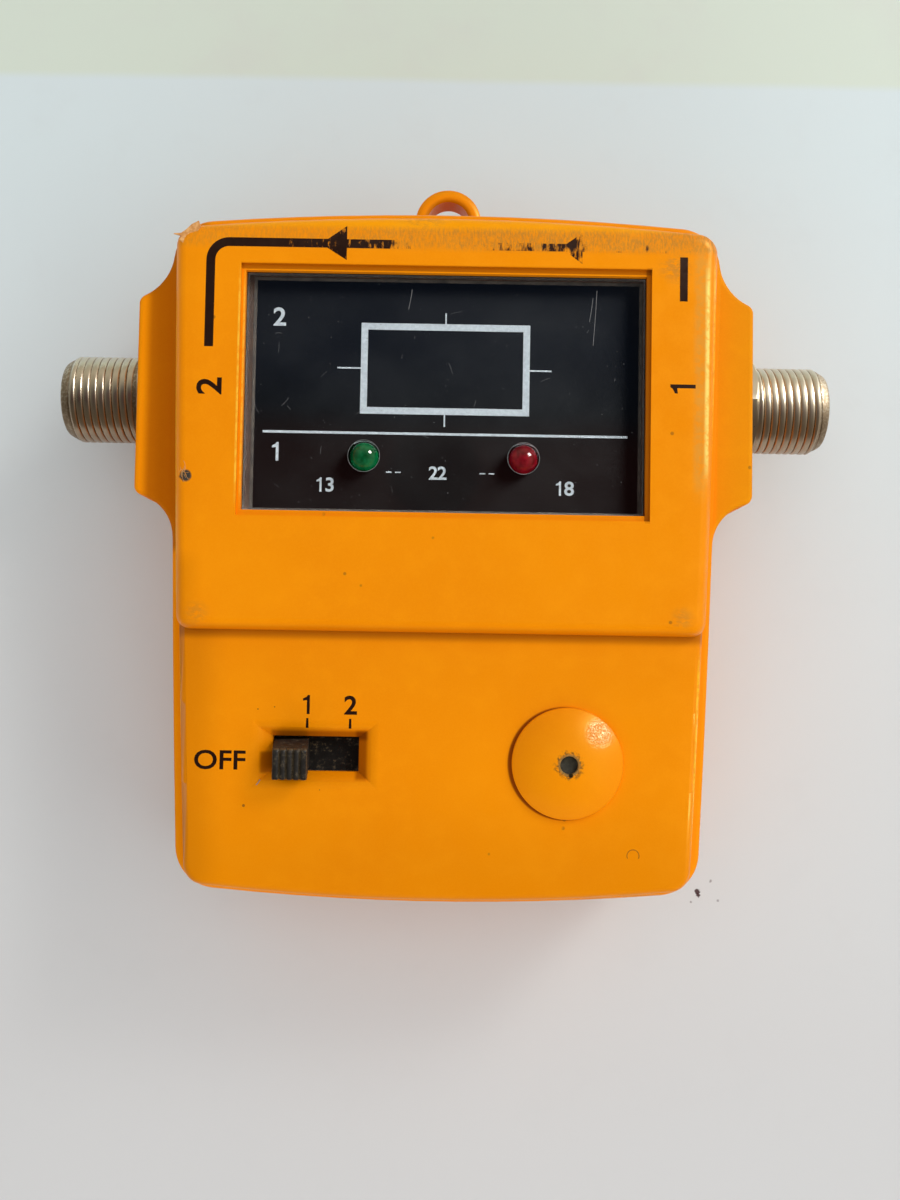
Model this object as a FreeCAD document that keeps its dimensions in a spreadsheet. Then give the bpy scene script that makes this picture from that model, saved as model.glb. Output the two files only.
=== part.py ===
"""Hand-held satellite signal meter lying on its back, in millimetres.

X runs to the right, Y up the face towards the hanging eye, Z out of the face.
The origin is the middle of the bounding box, on the back face.
"""
import FreeCAD, Part
import Sketcher
import math
import os

DOC = FreeCAD.newDocument("SignalMeter")
SHEET = DOC.addObject("Spreadsheet::Sheet", "Sizes")

# Driving sizes: name, length in millimetres, what it is
DRIVING = [
    ("case_half_top", 29.05, "half width of the case at its top corners"),
    ("case_half_low", 27.05, "half width of the case at its bottom corners"),
    ("ledge_side_top", 0.95, "width of the ledge beside the deck at its top corners"),
    ("ledge_side_low", 1.15, "width of the ledge beside the deck at its bottom corners"),
    ("ledge_top", 1.5, "width of the ledge above the deck"),
    ("ledge_low", 0.5, "width of the ledge below the deck"),
    ("end_bow", 1.4, "how far the top and bottom edges bulge"),
    ("side_bow", 0.33, "how far the long sides bulge"),
    ("back_to_deck", 24.5, "back face to upper deck"),
    ("axis_height", 12.5, "height of the connector axis and of the parting plane"),
    ("step_height", 1.6, "drop from the upper deck to the lower deck"),
    ("ledge_drop", 3.5, "drop from the upper deck to the ledge and the wings"),
    ("deck_lap", 0.06, "upper deck standing out over the lower deck's walls"),
    ("wall", 2.0, "moulded wall thickness"),
    ("case_corner", 4.4, "corner radius of the case"),
    ("deck_corner", 2.2, "corner radius of the decks"),
    ("step_corner", 1.5, "corner radius of the upper deck at the step"),
    ("edge_round", 0.7, "rounding of the lower deck's edges"),
    ("upper_round", 1.2, "rounding of the upper deck's edges"),
    ("ledge_round", 0.5, "rounding of the ledge and wing edges"),
    ("back_round", 1.0, "rounding of the back edges"),
    ("seam_chamfer", 0.2, "chamfer that draws the seam between the shells"),
    ("window_drop", 19.8, "window's middle below the case's top edge"),
    ("step_below", 12.4, "step line below the window lens"),
    ("wing_out", 3.55, "wings standing out past the case's top corners"),
    ("wing_corner", 1.0, "corner radius of the wings"),
    ("flare_up", 14.5, "middle of the upper flare above the connector axis"),
    ("flare_up_radius", 5.4, "radius of the upper flare"),
    ("flare_low", 16.2, "middle of the lower flare below the connector axis"),
    ("flare_low_radius", 4.7, "radius of the lower flare"),
    ("wing_wall", 2.2, "outer wall of a wing"),
    ("wing_room", 15.4, "length of the hollow inside a wing"),
    ("eye_up", 1.7, "hanging eye's centre above the case's top edge"),
    ("eye_hole", 2.33, "radius of the hanging eye's hole"),
    ("eye_rim", 1.32, "width of the rim round the hole"),
    ("eye_half_thick", 1.4, "each shell's share of the eye's thickness"),
    ("lens_w", 41.3, "window lens width"),
    ("lens_h", 24.7, "window lens height"),
    ("lens_thick", 1.5, "window lens thickness"),
    ("lens_drop", 1.1, "lens face below the upper deck"),
    ("fit_gap", 0.1, "clearance round pieces that drop into the case"),
    ("bezel_w", 0.42, "width of the bezel's step round the lens"),
    ("bezel_h", 0.6, "height of the bezel's step above and below the lens"),
    ("bezel_drop", 0.5, "depth of the bezel's step"),
    ("window_rim", 1.9, "width of the rim that carries the lens"),
    ("panel_thick", 0.3, "printed panel thickness"),
    ("panel_inset", 0.3, "printed panel's edge inside the lens's edge"),
    ("led_spread", 8.26, "lamp axis from the centre line"),
    ("led_up", 5.75, "lamps above the lens's lower edge"),
    ("led_radius", 1.5, "lamp radius"),
    ("led_flange", 1.9, "radius of the lamp's flange"),
    ("led_flange_thick", 1.0, "thickness of the lamp's flange"),
    ("led_height", 5.3, "lamp height with its flange"),
    ("led_proud", 0.7, "lamp tip above the lens"),
    ("led_gap", 0.13, "clearance round a lamp"),
    ("lead_side", 0.5, "width of a lamp's square legs"),
    ("lead_spacing", 2.54, "spacing of a lamp's legs"),
    ("slot_in", 14.35, "switch slot inside the case's bottom corners"),
    ("slot_drop", 37.42, "switch slot below the window's middle"),
    ("slot_up", 15.18, "switch slot above the case's bottom edge"),
    ("slot_w", 8.9, "switch slot width"),
    ("slot_h", 3.6, "switch slot height"),
    ("funnel_w", 1.3, "how far the funnel of the slot opens sideways"),
    ("funnel_h", 0.95, "how far the funnel of the slot opens up and down"),
    ("funnel_deep", 1.2, "depth of the funnel"),
    ("travel", 5.0, "full travel of the switch"),
    ("knob_w", 3.5, "switch knob width"),
    ("knob_h", 3.1, "switch knob height across the slot"),
    ("knob_proud", 3.2, "knob top above the lower deck"),
    ("groove_pitch", 0.7, "spacing of the grooves on the knob"),
    ("groove_w", 0.3, "width of a groove"),
    ("groove_deep", 0.35, "depth of a groove"),
    ("frame_room", 0.4, "room past each end of the slider's travel"),
    ("frame_h", 6.4, "switch frame width"),
    ("sheet", 0.4, "switch frame sheet thickness"),
    ("frame_gap", 0.1, "switch frame below the case"),
    ("slider_w", 14.0, "slider plate length"),
    ("slider_thick", 1.4, "slider plate thickness"),
    ("slide_gap", 0.1, "running clearance of the slider"),
    ("wiper_w", 5.4, "switch wiper length"),
    ("wiper_h", 2.6, "switch wiper width"),
    ("wiper_thick", 0.2, "switch wiper thickness"),
    ("pin_side", 0.6, "width of the square soldered pins"),
    ("pin_tail", 0.8, "soldered pins below their board"),
    ("pin_pitch", 2.5, "spacing of the switch pins"),
    ("cap_in", 13.85, "sounder cap inside the case's bottom corners"),
    ("cap_below_slot", 0.48, "sounder cap below the switch slot"),
    ("cap_radius", 5.7, "sounder cap radius"),
    ("cap_skirt", 0.5, "straight skirt of the cap"),
    ("cap_rise", 2.1, "rise of the cap's dome"),
    ("cap_hole", 0.9, "radius of the sound hole"),
    ("cap_spigot", 4.0, "radius of the cap's spigot"),
    ("cap_wall", 0.9, "wall of the cap"),
    ("sounder_radius", 5.9, "sounder radius"),
    ("sounder_gap", 0.1, "sounder's top below the case"),
    ("sounder_port", 1.2, "radius of the sounder's port"),
    ("sounder_port_deep", 1.5, "depth of the sounder's port"),
    ("sounder_pin_x", 3.2, "sounder pins from its axis"),
    ("board_thick", 1.6, "circuit board thickness"),
    ("board_z", 15.1, "height of the control board's underside"),
    ("board_side_gap", 1.45, "control board's edge to the case's wall at the bottom corners"),
    ("end_gap", 0.2, "clearance of the boards and the lid to the barrels"),
    ("waist_down", 11.4, "widening of the board below the window's middle"),
    ("board_top_down", 3.4, "control board's upper edge below the case's top edge"),
    ("board_low_up", 4.2, "control board's lower edge above the case's bottom edge"),
    ("notch_half", 16.6, "half width of the board between its corner notches"),
    ("notch_top_down", 9.2, "upper notches below the case's top edge"),
    ("notch_low_up", 10.2, "lower notches above the case's bottom edge"),
    ("post_radius", 1.8, "board post radius"),
    ("post_x_top", 13.0, "upper board posts from the centre line"),
    ("post_x_low", 17.6, "lower board posts from the centre line"),
    ("post_top_down", 6.4, "upper board posts below the case's top edge"),
    ("post_above_slot", 9.02, "lower board posts above the switch slot"),
    ("post_screw", 0.95, "board screw radius"),
    ("post_screw_len", 4.6, "board screw length under its head"),
    ("post_head", 1.8, "board screw head radius"),
    ("post_head_high", 1.2, "board screw head height"),
    ("boss_radius", 2.7, "case screw boss radius"),
    ("boss_in_top", 7.05, "upper case screws inside the case's top corners"),
    ("boss_in_low", 6.55, "lower case screws inside the case's bottom corners"),
    ("boss_top_down", 5.7, "upper case screws below the case's top edge"),
    ("boss_low_up", 6.4, "lower case screws above the case's bottom edge"),
    ("case_screw", 1.35, "case screw radius"),
    ("case_screw_len", 16.0, "case screw length under its head"),
    ("case_head", 2.3, "case screw head radius"),
    ("case_head_high", 1.5, "case screw head height"),
    ("case_head_sink", 1.0, "case screw head below the back face"),
    ("screw_gap", 0.05, "clearance round a screw"),
    ("hex_flat", 11.1, "connector hexagon across its flats"),
    ("hex_len", 4.2, "connector hexagon length"),
    ("hex_proud", 0.8, "hexagon standing out of the wing"),
    ("connector_up", 1.0, "connector axis above the window's middle"),
    ("thread_radius", 4.76, "connector thread outside radius"),
    ("thread_len", 7.95, "connector thread length with its tip"),
    ("neck_radius", 4.6, "plain neck between hexagon and thread"),
    ("neck_len", 0.75, "length of the plain neck"),
    ("tip_chamfer", 0.95, "chamfer of the connector's tip"),
    ("shank_radius", 4.4, "connector shank inside the wing"),
    ("barrel_radius", 3.8, "connector barrel through the tray"),
    ("barrel_len", 3.6, "connector barrel inside the tray"),
    ("bore_radius", 3.3, "connector bore"),
    ("mouth_deep", 0.6, "insulator below the connector's tip"),
    ("contact_radius", 0.9, "centre contact radius"),
    ("contact_bore", 0.5, "centre contact bore"),
    ("contact_bore_deep", 8.0, "depth of the centre contact's bore"),
    ("contact_tail", 2.4, "centre contact past the barrel"),
    ("thin_gap", 0.05, "clearance of close fitting metal pieces"),
    ("nut_flat", 10.0, "clamp nut across its flats"),
    ("nut_thick", 2.0, "clamp nut thickness"),
    ("washer_radius", 5.0, "toothed washer radius"),
    ("washer_thick", 0.4, "toothed washer thickness"),
    ("tray_half", 24.4, "half length of the screening tray"),
    ("tray_half_wide", 9.0, "half width of the screening tray"),
    ("tray_sheet", 0.5, "screening sheet thickness"),
    ("tray_z", 6.0, "height of the tray's underside"),
    ("tray_rim", 13.6, "height of the rim of the tray's long walls"),
    ("ear_z", 18.3, "height of the top of the tray's end walls"),
    ("ear_half", 6.3, "half width of the tray's end walls above the rim"),
    ("rf_board_gap", 0.2, "radio board's edge to the tray's walls"),
    ("pad_radius", 1.2, "radius of the tray's board supports"),
    ("pad_x", 16.0, "board supports from the centre line"),
    ("pad_y", 6.0, "board supports from the connector axis"),
    ("rib_thick", 1.6, "cradle rib thickness"),
    ("rib_x", 12.0, "cradle ribs from the centre line"),
    ("patch_w", 16.0, "coupler patch width"),
    ("patch_h", 8.0, "coupler patch height"),
    ("patch_thick", 0.1, "coupler patch thickness"),
    ("patch_up", 2.8, "coupler patch above the window's middle"),
    ("link_pitch", 2.54, "spacing of the link pins"),
    ("link_drop", 5.5, "link pins below the connector axis"),
    ("link_block", 1.8, "link block height"),
    ("link_hole", 0.4, "clearance of the lid round the link block"),
    ("chip_w", 8.6, "chip length"),
    ("chip_h", 4.0, "chip width"),
    ("chip_thick", 1.7, "chip height"),
    ("chip_drop", 22.0, "chip below the window's middle"),
    ("choke_radius", 0.9, "choke radius"),
    ("choke_len", 4.4, "choke length"),
    ("choke_x", 9.0, "chokes from the centre line"),
    ("capacitor_side", 1.25, "width and height of the small capacitors"),
    ("capacitor_len", 2.0, "length of the small capacitors"),
    ("capacitor_pitch", 4.0, "spacing of the small capacitors"),
    ("capacitor_drop", 4.5, "row of capacitors below the chip"),
    ("pin_gap", 0.1, "clearance round soldered pins in their holes"),
]

SIDES = (1, -1)
CORNER_PER_FLAT = 1 / math.sqrt(3)
FLAT_BOW = 1e5
LINK_PINS = range(-2, 3)
SWITCH_PINS = range(-1, 3)
KNOB_GROOVES = range(-2, 3)
CAPACITORS = range(-2, 3)


class Size:
    """A length that carries its number and the sheet expression it comes from."""

    def __init__(self, text, value):
        self.text = text
        self.value = value

    def join(self, sign, other, value):
        return Size("(%s %s %s)" % (self.text, sign, text_of(other)), value)

    def __add__(self, other):
        return self.join("+", other, self.value + number_of(other))

    def __sub__(self, other):
        return self.join("-", other, self.value - number_of(other))

    def __mul__(self, other):
        return self.join("*", other, self.value * number_of(other))

    def __rmul__(self, other):
        return self * other

    def __truediv__(self, other):
        return self.join("/", other, self.value / number_of(other))

    def __neg__(self):
        return Size("(-1 * %s)" % self.text, -self.value)


def text_of(size):
    """The sheet expression of a size, or the digits of a plain number."""
    return size.text if isinstance(size, Size) else repr(size)


def number_of(size):
    """The length in millimetres of a size or a plain number."""
    return size.value if isinstance(size, Size) else float(size)


def square_root(size):
    """The square root of a product of two sizes."""
    return Size("sqrt(%s)" % size.text, math.sqrt(size.value))


def fill_sheet():
    """Write every driving size into the sheet and return them by name."""
    sizes = {}
    for row, (name, value, note) in enumerate(DRIVING, start=1):
        SHEET.set("A%d" % row, name)
        SHEET.set("B%d" % row, str(value))
        SHEET.setAlias("B%d" % row, name)
        SHEET.set("C%d" % row, note)
        sizes[name] = Size("Sizes.%s" % name, value)
    DOC.recompute()
    return sizes


S = fill_sheet()

# Heights and places that several pieces share
PART_Z = S["axis_height"]
TOP_Z = S["back_to_deck"]
LOW_Z = TOP_Z - S["step_height"]
LEDGE_Z = TOP_Z - S["ledge_drop"]
CEILING_Z = LOW_Z - S["wall"]
EYE_RADIUS = S["eye_hole"] + S["eye_rim"]
BODY_LENGTH = S["window_drop"] + S["slot_drop"] + S["slot_up"]
BODY_LOW = (BODY_LENGTH + S["eye_up"] + EYE_RADIUS) / -2.0
BODY_TOP = BODY_LOW + BODY_LENGTH
DECK_HALF_TOP = S["case_half_top"] - S["ledge_side_top"]
DECK_HALF_LOW = S["case_half_low"] - S["ledge_side_low"]
WING_HALF = S["case_half_top"] + S["wing_out"]
EYE_Y = BODY_TOP + S["eye_up"]
WINDOW_Y = BODY_TOP - S["window_drop"]
STEP_Y = WINDOW_Y - S["lens_h"] / 2.0 - S["step_below"]
AXIS_Y = WINDOW_Y + S["connector_up"]
LED_Y = WINDOW_Y - S["lens_h"] / 2.0 + S["led_up"]
SLOT_X = S["slot_in"] - S["case_half_low"]
SLOT_Y = WINDOW_Y - S["slot_drop"]
CAP_X = S["case_half_low"] - S["cap_in"]
CAP_Y = SLOT_Y - S["cap_below_slot"]
LENS_TOP = TOP_Z - S["lens_drop"]
LENS_LOW = LENS_TOP - S["lens_thick"]
PANEL_LOW = LENS_LOW - S["panel_thick"]
BOARD_TOP = S["board_z"] + S["board_thick"]
HEX_OUT = WING_HALF + S["hex_proud"]
TIP_X = HEX_OUT + S["neck_len"] + S["thread_len"]
TRAY_INNER = S["tray_half"] - S["tray_sheet"]
BARREL_END = TRAY_INNER - S["barrel_len"]
RF_TOP = PART_Z - S["contact_radius"]
RF_LOW = RF_TOP - S["board_thick"]
LINK_Y = AXIS_Y - S["link_drop"]
KNOB_REST = SLOT_X - S["travel"] / 2.0
FRAME_TOP = CEILING_Z - S["frame_gap"]
SLIDER_TOP = FRAME_TOP - S["sheet"] - S["slide_gap"]
SLIDER_LOW = SLIDER_TOP - S["slider_thick"]
FRAME_W = S["slider_w"] + S["travel"] + (S["sheet"] + S["frame_room"]) * 2.0
SWITCH_BASE_TOP = SLIDER_LOW - S["wiper_thick"] - S["slide_gap"]
INNER_HALF = BARREL_END - S["end_gap"]
SLIDER_H = S["frame_h"] - (S["sheet"] + S["slide_gap"]) * 2.0
SCREW_TOP = S["case_head_sink"] + S["case_head_high"] + S["case_screw_len"]
NOTHING = 0 * PART_Z

# Turned pieces are drawn along X and then set upright or to the left
UPWARD = FreeCAD.Rotation(FreeCAD.Vector(0, 1, 0), -90)
LEFTWARD = FreeCAD.Rotation(FreeCAD.Vector(0, 0, 1), 180)


def tie(thing, path, size):
    """Bind one property of an object to the sheet."""
    thing.setExpression(path, text_of(size))


def place(thing, x, y, z):
    """Bind an object's place to the sheet."""
    for axis, size in zip("xyz", (x, y, z)):
        tie(thing, "Placement.Base." + axis, size)


def new_body(label):
    """A body that holds one sub-part."""
    body = DOC.addObject("PartDesign::Body", label)
    body.Label = label
    return body


def new_sketch(body, name, height=0.0, plane="XY_Plane"):
    """A sketch on one of the body's own planes, lifted along the plane's normal."""
    sketch = body.newObject("Sketcher::SketchObject", name)
    support = next(item for item in body.Origin.OriginFeatures if item.Role == plane)
    sketch.AttachmentSupport = (support, [""])
    sketch.MapMode = "FlatFace"
    tie(sketch, "AttachmentOffset.Base.z", height)
    return sketch


def pin_down(sketch, kind, where, size):
    """Add a dimension to a sketch and bind it to the sheet."""
    index = sketch.addConstraint(Sketcher.Constraint(kind, *where, number_of(size)))
    tie(sketch, "Constraints[%d]" % index, size)


def arc_between(start, end, radius):
    """The short arc between two points that turns left where the radius is positive."""
    step_x = end[0] - start[0]
    step_y = end[1] - start[1]
    chord = math.hypot(step_x, step_y)
    reach = math.sqrt(radius ** 2 - (chord / 2) ** 2) * math.copysign(1, radius)
    centre_x = (start[0] + end[0]) / 2 - step_y / chord * reach
    centre_y = (start[1] + end[1]) / 2 + step_x / chord * reach
    first = math.atan2(start[1] - centre_y, start[0] - centre_x)
    last = math.atan2(end[1] - centre_y, end[0] - centre_x)
    if radius < 0:
        first, last = last, first
    circle = Part.Circle(FreeCAD.Vector(centre_x, centre_y, 0), FreeCAD.Vector(0, 0, 1), abs(radius))
    return Part.ArcOfCircle(circle, first, last)


def draw(sketch, corners):
    """Draw a closed outline from x, y and the radius of the arc that follows, or None for a line."""
    spots = [(number_of(x), number_of(y)) for x, y, _ in corners]
    ends = []
    for index, (x, y, radius) in enumerate(corners):
        start = spots[index]
        end = spots[(index + 1) % len(corners)]
        if radius is None:
            first, last = FreeCAD.Vector(*start, 0), FreeCAD.Vector(*end, 0)
            ends.append((sketch.addGeometry(Part.LineSegment(first, last)), 1, 2))
        else:
            edge = sketch.addGeometry(arc_between(start, end, number_of(radius)))
            ends.append((edge, 1, 2) if number_of(radius) > 0 else (edge, 2, 1))
    for index, (edge, start, _) in enumerate(ends):
        before, _, before_end = ends[index - 1]
        sketch.addConstraint(Sketcher.Constraint("Coincident", before, before_end, edge, start))
        x, y, radius = corners[index]
        pin_down(sketch, "DistanceX", (-1, 1, edge, start), x)
        pin_down(sketch, "DistanceY", (-1, 1, edge, start), y)
        if radius is not None:
            pin_down(sketch, "Radius", (edge,), radius if number_of(radius) > 0 else -radius)


def draw_box(sketch, left, low, right, high):
    """Draw a rectangle."""
    draw(sketch, [(right, high, None), (left, high, None), (left, low, None), (right, low, None)])


def draw_middle_box(sketch, x, y, width, height):
    """Draw a rectangle round its middle."""
    draw_box(sketch, x - width / 2.0, y - height / 2.0, x + width / 2.0, y + height / 2.0)


def draw_circle(sketch, x, y, radius):
    """Draw a circle."""
    spot = FreeCAD.Vector(number_of(x), number_of(y), 0)
    edge = sketch.addGeometry(Part.Circle(spot, FreeCAD.Vector(0, 0, 1), number_of(radius)))
    pin_down(sketch, "DistanceX", (-1, 1, edge, 3), x)
    pin_down(sketch, "DistanceY", (-1, 1, edge, 3), y)
    pin_down(sketch, "Radius", (edge,), radius)


def draw_hexagon(sketch, x, y, flat):
    """Draw a hexagon with two corners straight above and below its middle."""
    half = flat / 2.0
    corner = flat * CORNER_PER_FLAT
    draw(sketch, [(x + half, y + corner / 2.0, None), (x, y + corner, None),
                  (x - half, y + corner / 2.0, None), (x - half, y - corner / 2.0, None),
                  (x, y - corner, None), (x + half, y - corner / 2.0, None)])


def pad(body, sketch, length, down=False):
    """Raise a sketch into a solid, along its normal or against it."""
    feature = body.newObject("PartDesign::Pad", sketch.Name + "_pad")
    feature.Profile = sketch
    feature.Reversed = down
    tie(feature, "Length", length)
    DOC.recompute()
    return feature


def pocket(body, sketch, length, up=False):
    """Cut a sketch into the body and make sure that it took something away."""
    before = body.Shape.Volume
    feature = body.newObject("PartDesign::Pocket", sketch.Name + "_cut")
    feature.Profile = sketch
    feature.Reversed = up
    tie(feature, "Length", length)
    DOC.recompute()
    if feature.Shape.Volume >= before:
        raise RuntimeError(sketch.Name + " cuts nothing")
    return feature


def spin(body, sketch):
    """Turn a sketch about its own level axis."""
    feature = body.newObject("PartDesign::Revolution", sketch.Name + "_turn")
    feature.Profile = sketch
    feature.ReferenceAxis = (sketch, ["H_Axis"])
    DOC.recompute()
    return feature


def dress(body, kind, size_name, size, test):
    """Round or chamfer those edges of the body that pass the test."""
    base = body.Tip
    names = ["Edge%d" % number for number, edge in enumerate(base.Shape.Edges, start=1) if test(edge)]
    if not names:
        raise RuntimeError(body.Label + " has no edge to dress")
    feature = body.newObject("PartDesign::" + kind, "%s_%s_%d" % (body.Name, kind.lower(), len(body.Group)))
    feature.Base = (base, names)
    tie(feature, size_name, size)
    DOC.recompute()
    return feature


def fillet(body, radius, test):
    """Round those edges of the body that pass the test."""
    return dress(body, "Fillet", "Radius", radius, test)


def chamfer(body, size, test):
    """Chamfer those edges of the body that pass the test."""
    return dress(body, "Chamfer", "Size", size, test)


def near(first, second):
    """Whether two heights are the same."""
    return abs(first - number_of(second)) < 1e-4


def level(height):
    """A test for edges that lie flat at a height."""
    return lambda edge: not edge.Degenerated and all(near(point.z, height) for point in edge.discretize(3))


def bow_radius(span_x, span_y, bow):
    """The radius of a shallow arc from the span of its chord and its bulge."""
    return ((span_x * span_x + span_y * span_y) / 4.0 + bow * bow) / (bow * 2.0)


def bow_of(side):
    """The middle and radius of a side's bow, or of a very flat bow for a level line."""
    (_, height), middle, radius = side
    if middle is None:
        return FreeCAD.Vector(0, number_of(height) + FLAT_BOW, 0), FLAT_BOW
    return FreeCAD.Vector(number_of(middle[0]), number_of(middle[1]), 0), number_of(radius)


def corner_middle(before, after, radius):
    """The middle of the round corner that touches two sides from within."""
    first, reach = bow_of(before)
    second, other = bow_of(after)
    reach, other = reach - radius, other - radius
    apart = (second - first).Length
    along = (reach ** 2 - other ** 2 + apart ** 2) / (2 * apart)
    across = math.sqrt(reach ** 2 - along ** 2)
    turn = (second - first).normalize()
    foot = first + turn * along
    aside = FreeCAD.Vector(-turn.y, turn.x, 0) * across
    sharp = FreeCAD.Vector(*[number_of(size) for size in after[0]], 0)
    return min((foot + aside, foot - aside), key=sharp.distanceToPoint)


def touch(side, middle, radius):
    """Where a round corner touches a side."""
    bow_middle, reach = bow_of(side)
    return bow_middle + (middle - bow_middle) * (reach / (reach - radius))


def between(first, second, reach):
    """The point at a distance from one point towards another."""
    return first + (second - first).normalize() * reach


def shape_of(middle, start, end, outward):
    """The line between two points, or the arc about a middle that bulges out of the outline or into it."""
    if middle is None:
        return Part.LineSegment(start, end)
    circle = Part.Circle(middle, FreeCAD.Vector(0, 0, 1), (start - middle).Length)
    turns = (start, end) if outward else (end, start)
    first, last = [math.atan2(point.y - middle.y, point.x - middle.x) for point in turns]
    return Part.ArcOfCircle(circle, first, last)


def draw_chain(sketch, pieces):
    """Draw edges that run into each other without a kink, round to the left.

    A piece is its middle, first point, last point, whether it bulges outward, and its pins.
    """
    ends = []
    for middle, start, end, outward, pins in pieces:
        edge = sketch.addGeometry(shape_of(middle, start, end, outward))
        ends.append((edge, 1, 2) if outward else (edge, 2, 1))
        for kind, point, size in pins:
            pin_down(sketch, kind, (edge,) if point is None else (-1, 1, edge, point), size)
    for (edge, _, last), (after, first, _) in zip(ends, ends[1:] + ends[:1]):
        sketch.addConstraint(Sketcher.Constraint("Tangent", edge, last, after, first))


def side_piece(side, start, end):
    """The piece of a side between two points: a bow about a fixed middle, or a level line."""
    (_, height), middle, radius = side
    if middle is None:
        return None, start, end, True, [("DistanceY", 1, height), ("DistanceY", 2, height)]
    pins = [("DistanceX", 3, middle[0]), ("DistanceY", 3, middle[1]), ("Radius", None, radius)]
    return bow_of(side)[0], start, end, True, pins


def corner_piece(middle, radius, start, end):
    """The piece of a round corner."""
    return middle, start, end, True, [("Radius", None, radius)]


def draw_rounded(sketch, sides, corners):
    """Draw sides that run into each other through round corners.

    A side is its first sharp corner, and the middle and radius of its bow, or None for a level line.
    """
    radii = [number_of(corner) for corner in corners]
    middles = [corner_middle(side, sides[(index + 1) % len(sides)], radii[index])
               for index, side in enumerate(sides)]
    starts = [touch(side, middles[index - 1], radii[index - 1]) for index, side in enumerate(sides)]
    ends = [touch(side, middles[index], radii[index]) for index, side in enumerate(sides)]
    pieces = []
    for index, side in enumerate(sides):
        after = starts[(index + 1) % len(sides)]
        pieces.append(side_piece(side, starts[index], ends[index]))
        pieces.append(corner_piece(middles[index], corners[index], ends[index], after))
    draw_chain(sketch, pieces)


def side_bow(half_top, half_low, high, low):
    """The radius of the right side's bow and the place of its middle."""
    radius = bow_radius(half_top - half_low, high - low, S["side_bow"])
    span_x, span_y = half_top - half_low, high - low
    share = (radius - S["side_bow"]) / square_root(span_x * span_x + span_y * span_y)
    return radius, (half_top + half_low) / 2.0 - span_y * share, (high + low) / 2.0 + span_x * share


def case_sides(half_top, half_low, inset_top, inset_low):
    """The four bowed sides of the case: top, left, bottom and right."""
    high = BODY_TOP - S["end_bow"] - inset_top
    low = BODY_LOW + S["end_bow"] + inset_low
    side_radius, side_x, side_y = side_bow(half_top, half_low, high, low)
    top_radius = bow_radius(half_top * 2.0, NOTHING, S["end_bow"])
    low_radius = bow_radius(half_low * 2.0, NOTHING, S["end_bow"])
    return [((half_top, high), (NOTHING, BODY_TOP - inset_top - top_radius), top_radius),
            ((-half_top, high), (-side_x, side_y), side_radius),
            ((-half_low, low), (NOTHING, BODY_LOW + inset_low + low_radius), low_radius),
            ((half_low, low), (side_x, side_y), side_radius)]


def draw_case(sketch, half_top, half_low, inset_top, inset_low, corner, step=None):
    """Draw the case without its wings, from top to bottom or only down to the step."""
    top, left, bottom, right = case_sides(half_top, half_low, inset_top, inset_low)
    low_corner = corner
    if step is not None:
        bottom = ((-half_low, step), None, None)
        right = ((half_low, step), *right[1:])
        low_corner = S["step_corner"]
    draw_rounded(sketch, [top, left, bottom, right], [corner, low_corner, low_corner, corner])


def flare_middle(middle, reach, radius, height):
    """The middle of a flare that touches a circle from outside, on its right, at a height."""
    y = number_of(height)
    return FreeCAD.Vector(middle.x + math.sqrt((reach + radius) ** 2 - (y - middle.y) ** 2), y, 0)


def knee_middle(flare, radius, aim):
    """The middle of the wing's corner that touches a flare, above it or below it."""
    corner = number_of(S["wing_corner"])
    x = number_of(WING_HALF) - corner
    return FreeCAD.Vector(x, flare.y + aim * math.sqrt((radius + corner) ** 2 - (flare.x - x) ** 2), 0)


def winged_half(top, bottom, right):
    """The right half of the outline: low corner, side, flare, wing, flare and top corner.

    The lower flare springs from the side, and the upper one from the case's top corner.
    """
    corner = number_of(S["case_corner"])
    face = number_of(WING_HALF)
    low = corner_middle(bottom, right, corner)
    top_x = S["case_half_top"] - S["case_corner"]
    top_bow, top_reach = bow_of(top)
    rise = math.sqrt((top_reach - corner) ** 2 - number_of(top_x) ** 2)
    high = FreeCAD.Vector(number_of(top_x), top_bow.y + rise, 0)
    side, reach = bow_of(right)
    low_y, high_y = AXIS_Y - S["flare_low"], AXIS_Y + S["flare_up"]
    low_size, high_size = number_of(S["flare_low_radius"]), number_of(S["flare_up_radius"])
    low_flare = flare_middle(side, reach, low_size, low_y)
    high_flare = flare_middle(high, corner, high_size, high_y)
    low_knee = knee_middle(low_flare, low_size, 1)
    high_knee = knee_middle(high_flare, high_size, -1)
    low_root, high_root = between(side, low_flare, reach), between(high, high_flare, corner)
    low_bend = between(low_flare, low_knee, low_size)
    high_bend = between(high_flare, high_knee, high_size)
    low_tip, high_tip = FreeCAD.Vector(face, low_knee.y, 0), FreeCAD.Vector(face, high_knee.y, 0)
    low_end = touch(right, low, corner)
    low_pins = [("Radius", None, S["flare_low_radius"]), ("DistanceY", 3, low_y)]
    high_pins = [("Radius", None, S["flare_up_radius"]), ("DistanceY", 3, high_y)]
    top_pins = [("Radius", None, S["case_corner"]), ("DistanceX", 3, top_x)]
    return [
        corner_piece(low, S["case_corner"], touch(bottom, low, corner), low_end),
        side_piece(right, low_end, low_root),
        (low_flare, low_root, low_bend, False, low_pins),
        corner_piece(low_knee, S["wing_corner"], low_bend, low_tip),
        (None, low_tip, high_tip, True, [("DistanceX", 1, WING_HALF), ("DistanceX", 2, WING_HALF)]),
        corner_piece(high_knee, S["wing_corner"], high_tip, high_bend),
        (high_flare, high_bend, high_root, False, high_pins),
        (high, high_root, touch(top, high, corner), True, top_pins)]


def flip(point):
    """A point or nothing, moved to the other side of the centre line."""
    return None if point is None else FreeCAD.Vector(-point.x, point.y, 0)


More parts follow.
